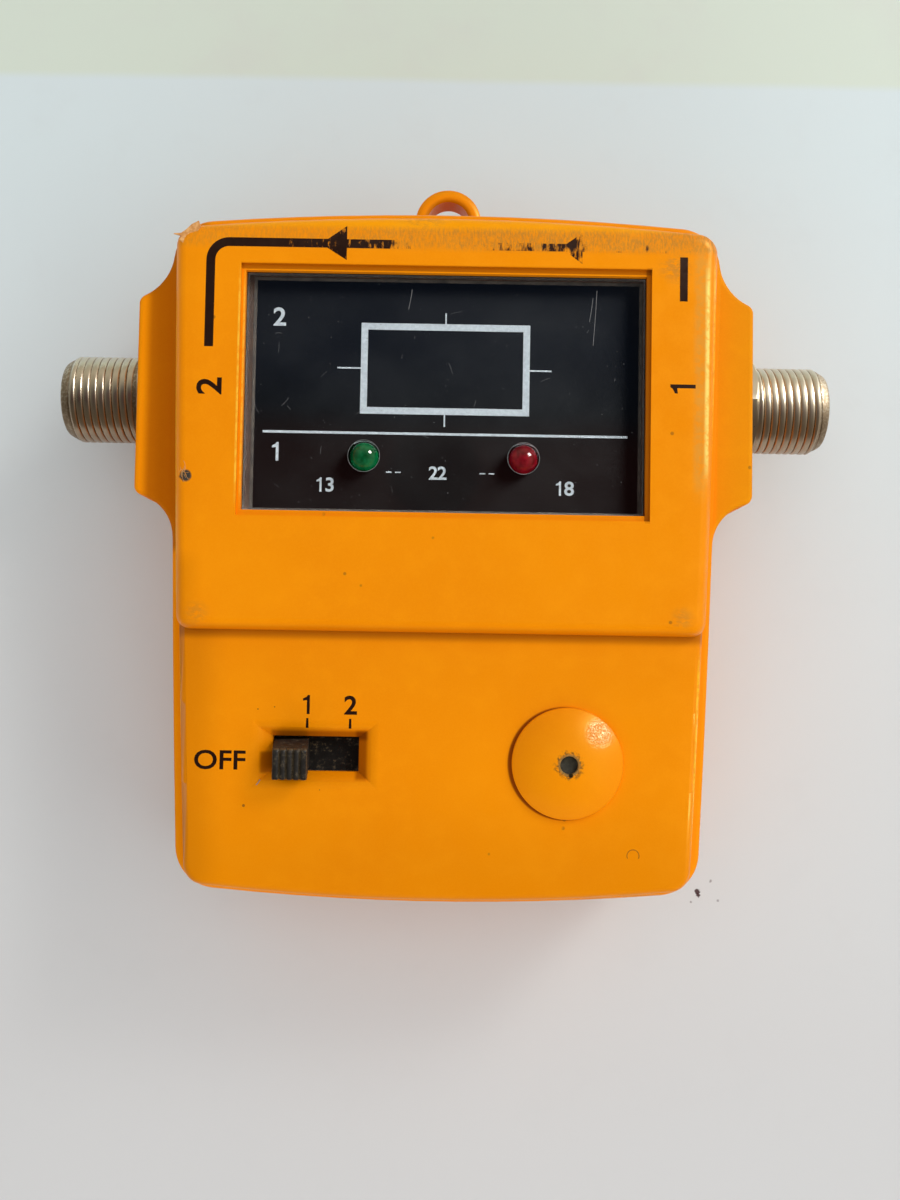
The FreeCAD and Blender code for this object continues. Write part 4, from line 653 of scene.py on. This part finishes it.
MATERIALS = {
    "case_orange": make_paint(),
    "clear": make_lens(),
    "legend": make_film(),
    "lamp_green": make_lamp("lamp_green", (0.0, 0.06, 0.014), (0.004, 0.15, 0.045)),
    "lamp_red": make_lamp("lamp_red", (0.11, 0.002, 0.005), (0.26, 0.006, 0.014)),
    "black": make_black(),
    "nickel": make_nickel(),
    "white": make_plain("insulator_white", (0.78, 0.77, 0.72), (0.66, 0.64, 0.58), 300, 0.4, 0.55),
    "contact": make_metal("contact_gold", (0.8, 0.57, 0.24), (0.62, 0.42, 0.17), 0.16, 0.3, 0.3),
    "steel": make_metal("steel_plated", (0.5, 0.5, 0.5), (0.36, 0.36, 0.36), 0.22, 0.38, 0.35),
    "tinned": make_metal("tinned_sheet", (0.66, 0.66, 0.65), (0.52, 0.52, 0.51), 0.25, 0.42, 0.3),
    "board": make_board(),
    "copper": make_metal("copper", (0.8, 0.4, 0.24), (0.62, 0.28, 0.16), 0.25, 0.42, 0.35),
    "cap": make_cap_paint(),
    "ink": make_ink(),
    "pale_ink": make_fine("ink_pale", (0.56, 0.64, 0.71), (0.66, 0.745, 0.81), 0.7, 0.45, 0.6, 0.004, 0.5),
    "dust": make_dust(),
    "flake": make_fine("flake_tan", (0.62, 0.25, 0.05), (0.8, 0.42, 0.14), 0.65, 0.4, 0.6, 0.01, 0.6),
    "border": make_plain("border_grey", (0.088, 0.072, 0.056), (0.034, 0.029, 0.025), 500, 0.45, 0.65),
    "shade": make_plain("shade_brown", (0.05, 0.018, 0.004), (0.028, 0.01, 0.003), 700, 0.5, 0.7),
    # Pale material for painted highlights: rims of the lamp holes and a glint on the switch funnel
    "rim": make_plain("glint_pale", (0.3, 0.315, 0.31), (0.12, 0.125, 0.12), 900, 0.3, 0.5),
    "gauze": make_plain("gauze_olive", (0.05, 0.044, 0.026), (0.022, 0.02, 0.011), 1600, 0.7, 0.9),
    "mark": make_plain("mark_brown", (0.42, 0.13, 0.008), (0.26, 0.075, 0.006), 1500, 0.5, 0.7, SHEEN_TINT),
}


def dress_nodes():
    """Give every CAD node the material of its slot."""
    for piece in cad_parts.values():
        for slot in piece.material_slots:
            slot.material = MATERIALS[slot.material.name.split(".")[0]]


# Mesh helpers

class Shape:
    """Points in millimetres and faces, made up of simple forms."""

    def __init__(self, points=(), faces=()):
        self.points = list(points)
        self.faces = list(faces)

    def loops(self, loops, capped=False):
        """Skin a row of closed point loops with the same number of points."""
        start = len(self.points)
        count = len(loops[0])
        for loop in loops:
            self.points.extend(loop)
        for row in range(len(loops) - 1):
            for index in range(count):
                after = (index + 1) % count
                a = start + row * count
                b = a + count
                self.faces.append((a + index, a + after, b + after, b + index))
        if capped:
            last = start + (len(loops) - 1) * count
            self.faces.append(tuple(range(start + count - 1, start - 1, -1)))
            self.faces.append(tuple(range(last, last + count)))

    def slab(self, outline, low, high):
        """An upright slab over an outline on the face."""
        self.loops([[(x, y, z) for x, y in outline] for z in (low, high)], capped=True)

    def block(self, x0, x1, y0, y1, low, high):
        """An upright slab over a rectangle."""
        self.slab(corners(x0, x1, y0, y1), low, high)

    def tube(self, first, second, low, high):
        """A flat frame between two outlines on the face."""
        edges = ((first, low), (first, high), (second, high), (second, low), (first, low))
        self.loops([[(x, y, z) for x, y in line] for line, z in edges])

    def ribbon(self, line, width, low, high):
        """A flat printed line of even width along points on the face."""
        loops = []
        for index, (x, y) in enumerate(line):
            before = line[max(index - 1, 0)]
            after = line[min(index + 1, len(line) - 1)]
            way = Vector((after[0] - before[0], after[1] - before[1])).normalized() * width / 2
            left, right = (x - way.y, y + way.x), (x + way.y, y - way.x)
            loops.append([(*left, low), (*right, low), (*right, high), (*left, high)])
        self.loops(loops, capped=True)

    def piece(self, name, material, slot, body="case", sharp=None):
        """Make the mesh piece, smooth but for edges sharper than an angle."""
        mesh = bpy.data.meshes.new(name)
        mesh.from_pydata([Vector(point) * MM for point in self.points], [], self.faces)
        mesh.materials.append(MATERIALS[material])
        made = bmesh.new()
        made.from_mesh(mesh)
        bmesh.ops.recalc_face_normals(made, faces=made.faces)
        made.to_mesh(mesh)
        made.free()
        if sharp is not None:
            mesh.shade_smooth()
            mesh.set_sharp_from_angle(angle=radians(sharp))
        piece = add_object(name, mesh)
        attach(piece, body)
        return piece


def corners(x0, x1, y0, y1):
    """The corners of a rectangle on the face."""
    return [(x0, y0), (x1, y0), (x1, y1), (x0, y1)]


def arc(x, y, radius, first, last, steps):
    """Points along an arc on the face, in degrees."""
    angles = [radians(first + (last - first) * step / steps) for step in range(steps + 1)]
    return [(x + radius * cos(angle), y + radius * sin(angle)) for angle in angles]


def circle(x, y, radius, count):
    """Points round a circle on the face."""
    return arc(x, y, radius, 0, 360, count)[:-1]


def bent_line(x, y, radius, first, last, steps):
    """A short arc whose middle point lies at a place."""
    line = arc(0, 0, radius, first, last, steps)
    middle = line[steps // 2]
    return [(px - middle[0] + x, py - middle[1] + y) for px, py in line]


def dense(line):
    """The same line with points no further apart than a millimetre."""
    points = [line[0]]
    for (x, y), end in zip(line, line[1:]):
        count = max(1, ceil(dist((x, y), end)))
        for i in range(1, count + 1):
            points.append((x + (end[0] - x) * i / count, y + (end[1] - y) * i / count))
    return points


# Prints

INK_THICK = 0.012
CASE_INK = ("ink", "black")
FILM_INK = ("pale_ink", "legend")
ONE = [(0.1, -0.5), (0.1, 0.5), (-0.01, 0.5), (-0.08, 0.4), (-0.26, 0.31), (-0.26, 0.2), (-0.05, 0.23),
       (-0.05, -0.5)]


def add_text(name, words, x, y, z, height, ink, weight, stretch, turn=0.0):
    """Printed figures round a middle, in Blender's own font."""
    curve = bpy.data.curves.new(name, "FONT")
    curve.body = words
    curve.align_x = "CENTER"
    curve.align_y = "CENTER"
    curve.extrude = 0.5
    curve.offset = weight
    curve.resolution_u = 4
    text = add_object(name + "_curve", curve)
    bpy.context.view_layer.update()
    mesh = bpy.data.meshes.new_from_object(text)
    bpy.data.objects.remove(text)
    points = [vertex.co.copy() for vertex in mesh.vertices]
    low, high = [Vector([end(point[axis] for point in points) for axis in range(3)]) for end in (min, max)]
    middle = (low + high) / 2
    scale = height / (high.y - low.y)
    spin = Matrix.Rotation(radians(turn), 2)
    placed = []
    for point in points:
        flat = (point - middle) * scale
        flat = spin @ Vector((flat.x * stretch, flat.y))
        placed.append((flat.x + x, flat.y + y, z + (INK_THICK if point.z > 0 else 0)))
    faces = [tuple(face.vertices) for face in mesh.polygons]
    bpy.data.meshes.remove(mesh)
    Shape(placed, faces).piece(name, *ink)


def add_figures(name, digits, x, y, z, height, ink, weight=0.0, turn=0.0):
    """Printed digits round a middle. The 1 has a flag, which Blender's font leaves out."""
    spin = Matrix.Rotation(radians(turn), 2)
    for index, digit in enumerate(digits):
        step = spin @ Vector(((index - (len(digits) - 1) / 2) * 0.66 * height, 0))
        label = name if len(digits) == 1 else f"{name}_{index + 1}"
        if digit == "1":
            outline = [spin @ (Vector(corner) * height) + step for corner in ONE]
            shape = Shape()
            shape.slab([(corner.x + x, corner.y + y) for corner in outline], z, z + INK_THICK)
            shape.piece(label, *ink)
        else:
            add_text(label, digit, x + step.x, y + step.y, z, height, ink, weight, 1.05, turn)


def add_flow_lines():
    """The worn signal path along the top edge, with two arrowheads that point left."""
    low, high = TOP_Z - 0.004, TOP_Z + INK_THICK
    left = Shape()
    corner = arc(-22.45, 27.05, 1.9, 180, 90, 12)
    left.ribbon(dense([(-24.35, 18.0), *corner, (-3.74, 28.95)]), 0.92, low, high)
    left.piece("print_path_left", *CASE_INK)
    right = Shape()
    right.ribbon(dense([(3.9, 28.9), (22.9, 28.9)]), 0.8, low, high)
    right.ribbon(dense([(24.46, 28.1), (24.46, 23.5)]), 0.8, low, high)
    right.piece("print_path_right", *CASE_INK)
    arrows = Shape()
    arrows.slab([(-13.03, 28.9), (-10.35, 27.23), (-10.35, 30.79)], low, high + 0.002)
    arrows.slab([(11.74, 28.9), (13.97, 27.23), (13.97, 30.48)], low, high + 0.002)
    arrows.piece("print_arrows", *CASE_INK)


def add_case_prints():
    """Ticks and figures on the case, and OFF at the switch."""
    shape = Shape()
    for x in (-13.52, -9.12):
        outline = [(x - 0.14, -21.0), (x + 0.14, -21.0), (x + 0.11, -20.0), (x - 0.11, -20.0)]
        shape.slab(outline, LOW_Z - 0.004, LOW_Z + INK_THICK)
    shape.piece("print_ticks", *CASE_INK)
    add_text("print_off", "OFF", -22.4, -24.4, LOW_Z, 2.0, CASE_INK, 0.015, 1.12)
    add_figures("print_place_1", "1", -13.5, -18.6, LOW_Z, 1.95, CASE_INK)
    add_figures("print_place_2", "2", -9.1, -18.6, LOW_Z, 1.95, CASE_INK, 0.022)
    add_figures("print_side_2", "2", -24.2, 13.9, TOP_Z, 2.6, CASE_INK, 0.02, 90)
    add_figures("print_side_1", "1", 24.45, 14.6, TOP_Z, 2.6, CASE_INK, 0.02, 90)


FRAME_Y = 16.5
# Figures on the film: digits, place, height
FILM_FIGURES = (("2", -17.4, 21.8, 1.95), ("1", -17.4, 7.6, 1.95), ("13", -12.3, 4.2, 1.5),
                ("18", 12.6, 4.2, 1.5), ("22", -0.6, 5.6, 1.4))


def add_window_prints():
    """A frame with four ticks, a long line, dashes and figures on the dark film."""
    low, high = PANEL_Z - 0.002, PANEL_Z + INK_THICK
    w, h, line, thin = 17.65 / 2, 9.58 / 2, 0.71, 0.08
    shape = Shape()
    for x0, x1, y0, y1 in (
            (-w, w, h - line, h), (-w, w, -h, line - h),
            (-w, line - w, line - h, h - line), (w - line, w, line - h, h - line),
            (-w - 2.45, -w, -thin, thin), (w, w + 2.3, -thin, thin),
            (-thin, thin, h, h + 1.15), (-thin, thin, -h - 1.25, -h)):
        shape.block(x0, x1, y0 + FRAME_Y, y1 + FRAME_Y, low, high)
    shape.block(-18.9, 19.1, 9.55, 9.81, low, high)
    for x in (-6.0, -5.05, 3.75, 4.7):
        shape.block(x, x + 0.6, 5.55, 5.68, low, high)
    shape.piece("print_window_lines", *FILM_INK)
    for digits, x, y, height in FILM_FIGURES:
        add_figures("print_window_" + digits, digits, x, y, PANEL_Z, height, FILM_INK, 0.02)


def lens_inset(left, right, foot, head):
    """The lens's corners with each side moved inwards by its own length."""
    return corners(LENS_LOW.x + left, LENS_HIGH.x - right, LENS_LOW.y + foot, LENS_HIGH.y - head)


# Strips under the lens's edges: name, material, height, and how far each side reaches in
STRIPS = (("window_border", "border", 0.01, 0.86, 0.46, 0.3, 0.46),
          ("window_shade", "shade", 0.06, 0.52, 0.12, 0.1, 0.14))


def add_window_trim():
    """The gap round the lens lined in black as painted shade, the strips under its edges, and pale rims of
    the lamp holes as painted highlights.
    """
    outer = lens_inset(-0.02, -0.02, -0.02, -0.02)
    # Painted shade: a black lining in the gap round the lens
    shape = Shape()
    shape.tube(outer, lens_inset(-0.08, -0.08, -0.08, -0.08), PANEL_Z, LENS_HIGH.z - 0.06)
    shape.piece("window_gap", "black", "black")
    for name, look, base, *sides in STRIPS:
        shape = Shape()
        shape.tube(outer, lens_inset(*sides), PANEL_Z + base, PANEL_Z + base + 0.04)
        shape.piece(name, look, "legend")
    # Painted highlights: pale rims round the lamp holes
    shape = Shape()
    for x in (-LAMP_X, LAMP_X):
        rings = [circle(x, LAMP_Y, radius, 64) for radius in (1.63, 1.67)]
        shape.tube(*rings, LENS_HIGH.z, LENS_HIGH.z + 0.01)
    shape.piece("lamp_rim_glints", "rim", "clear")


# Threaded sockets

PITCH = 25.4 / 32
THREAD_DEEP = 0.21
THREAD_OUT = 4.76
TIP_X = SOCKET_HIGH.x
HEX_OUT = TIP_X - 8.7
HEX_IN = HEX_OUT - 4.2
HEX_HALF = 5.55
HEX_PROUD = 0.55
NECK_END = HEX_OUT + 0.75
SLOPE_LONG = 1.35
TIP_RADIUS = 3.84
BORE = 3.3
ROUND = 96
# The socket from its tip inwards and back along the bore: place and radius
BORE_PROFILE = ((TIP_X, 3.5), (TIP_X - 0.03, 3.42), (TIP_X - 0.1, 3.34), (TIP_X - 0.22, BORE), (20.3, BORE),
                (20.3, 3.8), (24.4, 3.8), (24.4, 4.4), (HEX_IN, 4.4))


def thread_radius(x, angle):
    """Radius of the thread: broad crests, narrow grooves."""
    phase = (x - NECK_END) / PITCH - angle / tau
    from_crest = abs(phase - round(phase)) * 2
    groove = 1 - (1 - from_crest ** 3.2) ** 0.5
    fade_in = min(1.0, max(0.0, (x - NECK_END) / 0.4))
    fade_out = min(1.0, max(0.0, (TIP_X - 0.62 - x) / 0.25))
    radius = THREAD_OUT - THREAD_DEEP * groove * fade_in * fade_out - 0.06 * (1 - fade_in)
    return min(radius, tip_radius(x) - THREAD_DEEP * 0.6 * groove * fade_out)


def tip_radius(x):
    """Radius of the turned, rubbed tip of the socket."""
    left = TIP_X - x
    if left >= SLOPE_LONG:
        return THREAD_OUT
    share = 1 - left / SLOPE_LONG
    sloped = THREAD_OUT - (THREAD_OUT - TIP_RADIUS - 0.16) * share
    rounding = max(0.0, 0.34 - left) / 0.34
    return sloped - 0.16 * (1 - sqrt(1 - rounding * rounding)) - 0.05 * share * (1 - share)


def ring_at(x, radius_at):
    """Points round the socket's axis, at a radius or one that depends on place and angle."""
    loop = []
    for index in range(ROUND):
        angle = tau * index / ROUND
        radius = radius_at(x, angle) if callable(radius_at) else radius_at
        loop.append((x, radius * cos(angle), radius * sin(angle)))
    return loop


def add_socket(name, turn, node, face):
    """A nickel socket: hexagon up to a face, neck, helical thread, tip and bore."""

    def hex_radius(x, angle):
        """Radius of the hexagon with its turned chamfer."""
        sector = pi / 3
        inner = (angle + sector / 2) % sector - sector / 2
        return min(HEX_HALF / cos(inner), HEX_HALF - 0.04 + (face - x) * 1.75 + 0.1)

    shape = Shape()
    steps = [face] + [face - 0.06 * i for i in range(1, 9)] + [HEX_IN + 0.5, HEX_IN]
    shape.loops([ring_at(face, 4.5), *(ring_at(x, hex_radius) for x in steps), ring_at(HEX_IN, 4.4)])
    loops = [ring_at(x, 4.6) for x in (HEX_OUT - 0.2, face + 0.02, NECK_END - 0.12)]
    count = int((TIP_X - NECK_END) / PITCH * 24)
    places = [NECK_END + (TIP_X - NECK_END) * index / count for index in range(count + 1)]
    loops += [ring_at(x, thread_radius) for x in places]
    shape.loops(loops + [ring_at(x, radius) for x, radius in BORE_PROFILE])
    shape.points = [(x * turn, y * turn + AXIS.y, z + AXIS.z) for x, y, z in shape.points]
    piece = shape.piece(name, "nickel", "nickel", sharp=38)
    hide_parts(node)


# Switch knob

LEAN_FROM = 21.6
LEAN_X, LEAN_Y = 0.34, -0.86
KNOB_X, KNOB_Y = 1.75, 1.55


def leaned(x, y, z):
    """A point of the worn knob, which leans a little out of its slot."""
    share = max(0.0, (z - LEAN_FROM) / (KNOB_HIGH.z - LEAN_FROM))
    return x + LEAN_X * share, y + LEAN_Y * share, z - 0.02 * share


def knob_profile():
    """The outline of the knob's top from left to right: place and depth below the top."""
    edge = [(0.0, 0.34), (0.04, 0.16), (0.12, 0.04)]
    rib = ((0.0, 0.3), (0.05, 0.27), (0.1, 0.13), (0.16, 0.05), (0.22, 0.01))
    profile = {(0.2 - KNOB_X, 0.0)}
    profile |= {(side * (KNOB_X - inwards), depth) for inwards, depth in edge for side in (1, -1)}
    for middle in (-1.02, -0.34, 0.34, 1.02):
        profile |= {(middle + side * offset, depth) for offset, depth in rib for side in (1, -1)}
    return sorted(profile)


def add_knob():
    """The ribbed knob with rounded edges, on its slider plate."""
    shape = Shape()
    shape.block(KNOB_LOW.x, KNOB_HIGH.x, KNOB_LOW.y, KNOB_HIGH.y, KNOB_LOW.z, KNOB_LOW.z + 1.4)
    heights = (23.6, 22.6, LEAN_FROM, KNOB_LOW.z + 1.2)
    loops = []
    for step in range(25):
        along = -KNOB_Y + 2 * KNOB_Y * step / 24
        ease = max(0.0, abs(along) - KNOB_Y + 0.3) / 0.3
        drop = 0.26 * (1 - sqrt(max(0.0, 1 - ease * ease)))
        loop = [(KNOB.x + x, KNOB.y + along, KNOB_HIGH.z - depth - drop) for x, depth in knob_profile()]
        loop += [(KNOB.x + KNOB_X, KNOB.y + along, z) for z in heights]
        loop += [(KNOB.x - KNOB_X, KNOB.y + along, z) for z in reversed(heights)]
        loops.append([leaned(*point) for point in loop])
    shape.loops(loops, capped=True)
    piece = shape.piece("switch_thumb", "black", "black", "switch", sharp=40)
    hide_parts("switch_knob")


# Sounder cap

CAP_RADIUS = 5.7
CAP_SKIRT = 0.5
CAP_RISE = 1.86
CAP_HOLE = 0.9
CAP_WALL = 0.9
CAP_SPIGOT = 4.0
CAP_BALL = (CAP_RADIUS ** 2 + CAP_RISE ** 2) / (2 * CAP_RISE)


def dome(radius, ball=CAP_BALL):
    """Height of the dome at a radius."""
    return LOW_Z + CAP_SKIRT + CAP_RISE - CAP_BALL + sqrt(ball * ball - radius * radius)


def add_cap():
    """The domed sounder cap with a thin lip and a spigot, and gauze below its hole."""
    lip = dome(CAP_HOLE)
    profile = [(CAP_HOLE, lip - CAP_WALL), (CAP_HOLE, lip - 0.16), (CAP_HOLE + 0.03, lip - 0.05),
               (CAP_HOLE + 0.12, dome(CAP_HOLE + 0.12))]
    profile += [(radius / 20, dome(radius / 20)) for radius in range(22, int(CAP_RADIUS * 20))]
    profile += [(CAP_RADIUS - 0.03, dome(CAP_RADIUS - 0.02) - 0.02), (CAP_RADIUS, LOW_Z + CAP_SKIRT - 0.06),
                (CAP_RADIUS, LOW_Z), (CAP_SPIGOT, LOW_Z), (CAP_SPIGOT, CAP_LOW.z),
                (CAP_SPIGOT - CAP_WALL, CAP_LOW.z)]
    inside = (CAP_SPIGOT - CAP_WALL, 2.4, 1.8, 1.3)
    profile += [(radius, dome(radius, CAP_BALL - CAP_WALL)) for radius in inside]
    loops = [[(x, y, z) for x, y in circle(CAP.x, CAP.y, radius, 128)] for radius, z in profile]
    shape = Shape()
    shape.loops(loops + [loops[0]])
    piece = shape.piece("sounder_dome", "cap", "case_orange", sharp=35)
    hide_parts("sounder_cap")
    shape = Shape()
    shape.slab(arc(CAP.x, CAP.y, CAP_HOLE + 0.02, 0, 345, 23), lip - 0.75, lip - 0.55)
    shape.piece("sounder_gauze", "gauze", "black")


# Screws in the back

SCREW_HEAD, SCREW_SHANK = 2.3, 1.35
CROSS_LONG, CROSS_HALF = 1.25, 0.27
# Screws: place and turn
SCREWS = ((22.0, 27.825, 12), (-22.0, 27.825, 57), (20.5, -32.475, 31), (-20.5, -32.475, 78))
SCREW_RADII = (0.001, 0.12, 0.2, 0.26, 0.28, 0.38, 0.5, 0.65, 0.8, 0.95, 1.1, 1.2, 1.26, 1.4, 1.7, 2, 2.15,
               2.25, SCREW_HEAD)


def cross_depth(x, y, turn):
    """How deep the cross recess is at a place on the head."""
    u = abs(x * cos(turn) + y * sin(turn))
    v = abs(-x * sin(turn) + y * cos(turn))
    long_way, short_way = max(u, v), min(u, v)
    if short_way > CROSS_HALF or long_way > CROSS_LONG:
        return 0.0
    return min(0.9, 0.45 + (CROSS_LONG - long_way) * 0.45, (CROSS_LONG - long_way) * 6)


def add_screws():
    """Round heads with a cross recess, each turned differently, and their shanks."""
    low = SCREWS_LOW.z
    shape = Shape()
    for x, y, turn in SCREWS:
        loops = []
        for radius in SCREW_RADII:
            edge = max(0.0, radius - 1.9) / (SCREW_HEAD - 1.9)
            base = low + 0.3 * (1 - sqrt(max(0.0, 1 - edge * edge)))
            loops.append([(x + px, y + py, base + cross_depth(px, py, radians(turn)))
                          for px, py in circle(0, 0, radius, 96)])
        for radius, z in ((SCREW_HEAD, low + 1.5), (SCREW_SHANK, low + 1.5), (SCREW_SHANK, SCREWS_HIGH.z)):
            loops.append([(px, py, z) for px, py in circle(x, y, radius, 96)])
        shape.loops(loops, capped=True)
    piece = shape.piece("screws", "steel", "steel", sharp=35)
    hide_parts("case_screws")


# Wear that stands off the surface

def in_lens(x, y):
    """Whether a place lies on the lens and clear of the lamps."""
    inside = LENS_LOW.x + 0.2 < x < LENS_HIGH.x - 0.2 and LENS_LOW.y + 0.2 < y < LENS_HIGH.y - 0.2
    return inside and all(dist((x, y), (side * LAMP_X, LAMP_Y)) > 1.9 for side in (1, -1))


def on_lens(chance, margin):
    """A random place on the lens."""
    x = chance.uniform(LENS_LOW.x + margin, LENS_HIGH.x - margin)
    return x, chance.uniform(LENS_LOW.y + margin, LENS_HIGH.y - margin)


def add_lens_wear():
    """Fine scratches and dust on the lens."""
    chance = random.Random(7)
    shape = Shape()
    low, high = LENS_HIGH.z - 0.002, LENS_HIGH.z + 0.004
    for _ in range(22):
        x, y = on_lens(chance, 1.0)
        radius = chance.uniform(0.8, 5.0)
        first = chance.uniform(0, 360)
        half = min(70, degrees(chance.uniform(0.25, 1.3) / radius)) / 2
        line = bent_line(x, y, radius, first - half, first + half, 6)
        if all(in_lens(px, py) for px, py in line):
            shape.ribbon(line, chance.uniform(0.012, 0.024), low, high)
    for x, first, last in ((15.3, 19.0, 24.8), (14.9, 21.5, 24.0), (-3.9, 22.5, 24.6)):
        line = [(x + 0.4 * sin(i / 8), first + (last - first) * i / 8) for i in range(9)]
        shape.ribbon(line, 0.045, low, high)
    for _ in range(240):
        x, y = on_lens(chance, 0.5)
        size = 0.012 + 0.035 * chance.random() ** 3
        if in_lens(x, y):
            shape.slab(arc(x, y, size, 0, 300, 5), low, LENS_HIGH.z + size * 0.4)
    shape.piece("lens_scratches", "dust", "clear")


# The flake's outline: place, and how far it curls up
FLAKE = ((-28.3, 29.75, 0), (-27.5, 29.8, 0.02), (-27, 30.15, 0.05), (-26.4, 30.7, 0.12), (-25.7, 31.1, 0.05),
         (-25.5, 30.5, 0), (-25.9, 29.8, 0), (-26.5, 29.2, 0), (-27.2, 28.7, 0), (-27.7, 29.1, 0),
         (-27.4, 29.5, 0))


def add_flake():
    """The peeled flake at the deck's upper left corner."""
    shape = Shape()
    heights = (TOP_Z - 0.35, TOP_Z - 0.05)
    shape.loops([[(x, y, z + lift) for x, y, lift in FLAKE] for z in heights], capped=True)
    shape.piece("flake", "flake", "case_orange", sharp=30)


DOTS = ((-19.85, -29.02, 0.15), (-18.61, -19.15, 0.08), (-16.9, -18.9, 0.07), (-12.1, -27.3, 0.06))


def add_marks():
    """Lint beside the chip, dots and a faint arc on the lower deck, and a painted glint on the switch
    funnel's edge.
    """
    chance = random.Random(3)
    shape = Shape()
    for _ in range(11):
        radius = chance.uniform(0.5, 1.6)
        first = chance.uniform(0, 360)
        x = CHIP[0] + chance.uniform(-1.1, 0.2)
        y = CHIP[1] + chance.uniform(-0.4, 0.9)
        line = bent_line(x, y, radius, first, first + chance.uniform(30, 75), 8)
        if all(px > -27.1 for px, _ in line):
            shape.ribbon(line, 0.035, TOP_Z - 0.002, TOP_Z + 0.03)
    shape.piece("lint", "flake", "case_orange")
    low = LOW_Z - 0.004
    shape = Shape()
    for x, y, size in DOTS:
        shape.slab(arc(x, y, size, 0, 315, 7), low, LOW_Z + 0.01)
    shape.ribbon(arc(20.04, -33.46, 0.62, -25, 205, 16), 0.09, low, LOW_Z + 0.006)
    shape.piece("marks", "mark", "case_orange")
    # A painted glint on the lower left edge of the switch funnel
    shape = Shape()
    shape.ribbon([(-18.62, -26.9), (-18.44, -26.72), (-18.24, -26.36)], 0.09, low, LOW_Z + 0.006)
    shape.piece("funnel_glint", "rim", "case_orange")


FLOOR_HALF = 1500
FLOOR_Z = -0.02


def add_floor():
    """The pale surface that the meter lies on."""
    mesh = bpy.data.meshes.new("floor")
    outline = corners(-FLOOR_HALF, FLOOR_HALF, -FLOOR_HALF, FLOOR_HALF)
    mesh.from_pydata([Vector((x, y, FLOOR_Z)) * MM for x, y in outline], [], [(0, 1, 2, 3)])
    mesh.materials.append(make_floor())
    floor = add_object("floor", mesh)


bpy.context.scene.view_settings.view_transform = "Standard"
add_camera()
add_lights()
add_room()
dress_nodes()
add_floor()
add_flow_lines()
add_case_prints()
add_window_prints()
add_window_trim()
add_socket("socket_right", 1, "connector_right", HEX_OUT + HEX_PROUD)
add_socket("socket_left", -1, "connector_left", HEX_OUT)
add_knob()
add_cap()
add_screws()
add_lens_wear()
add_flake()
add_marks()
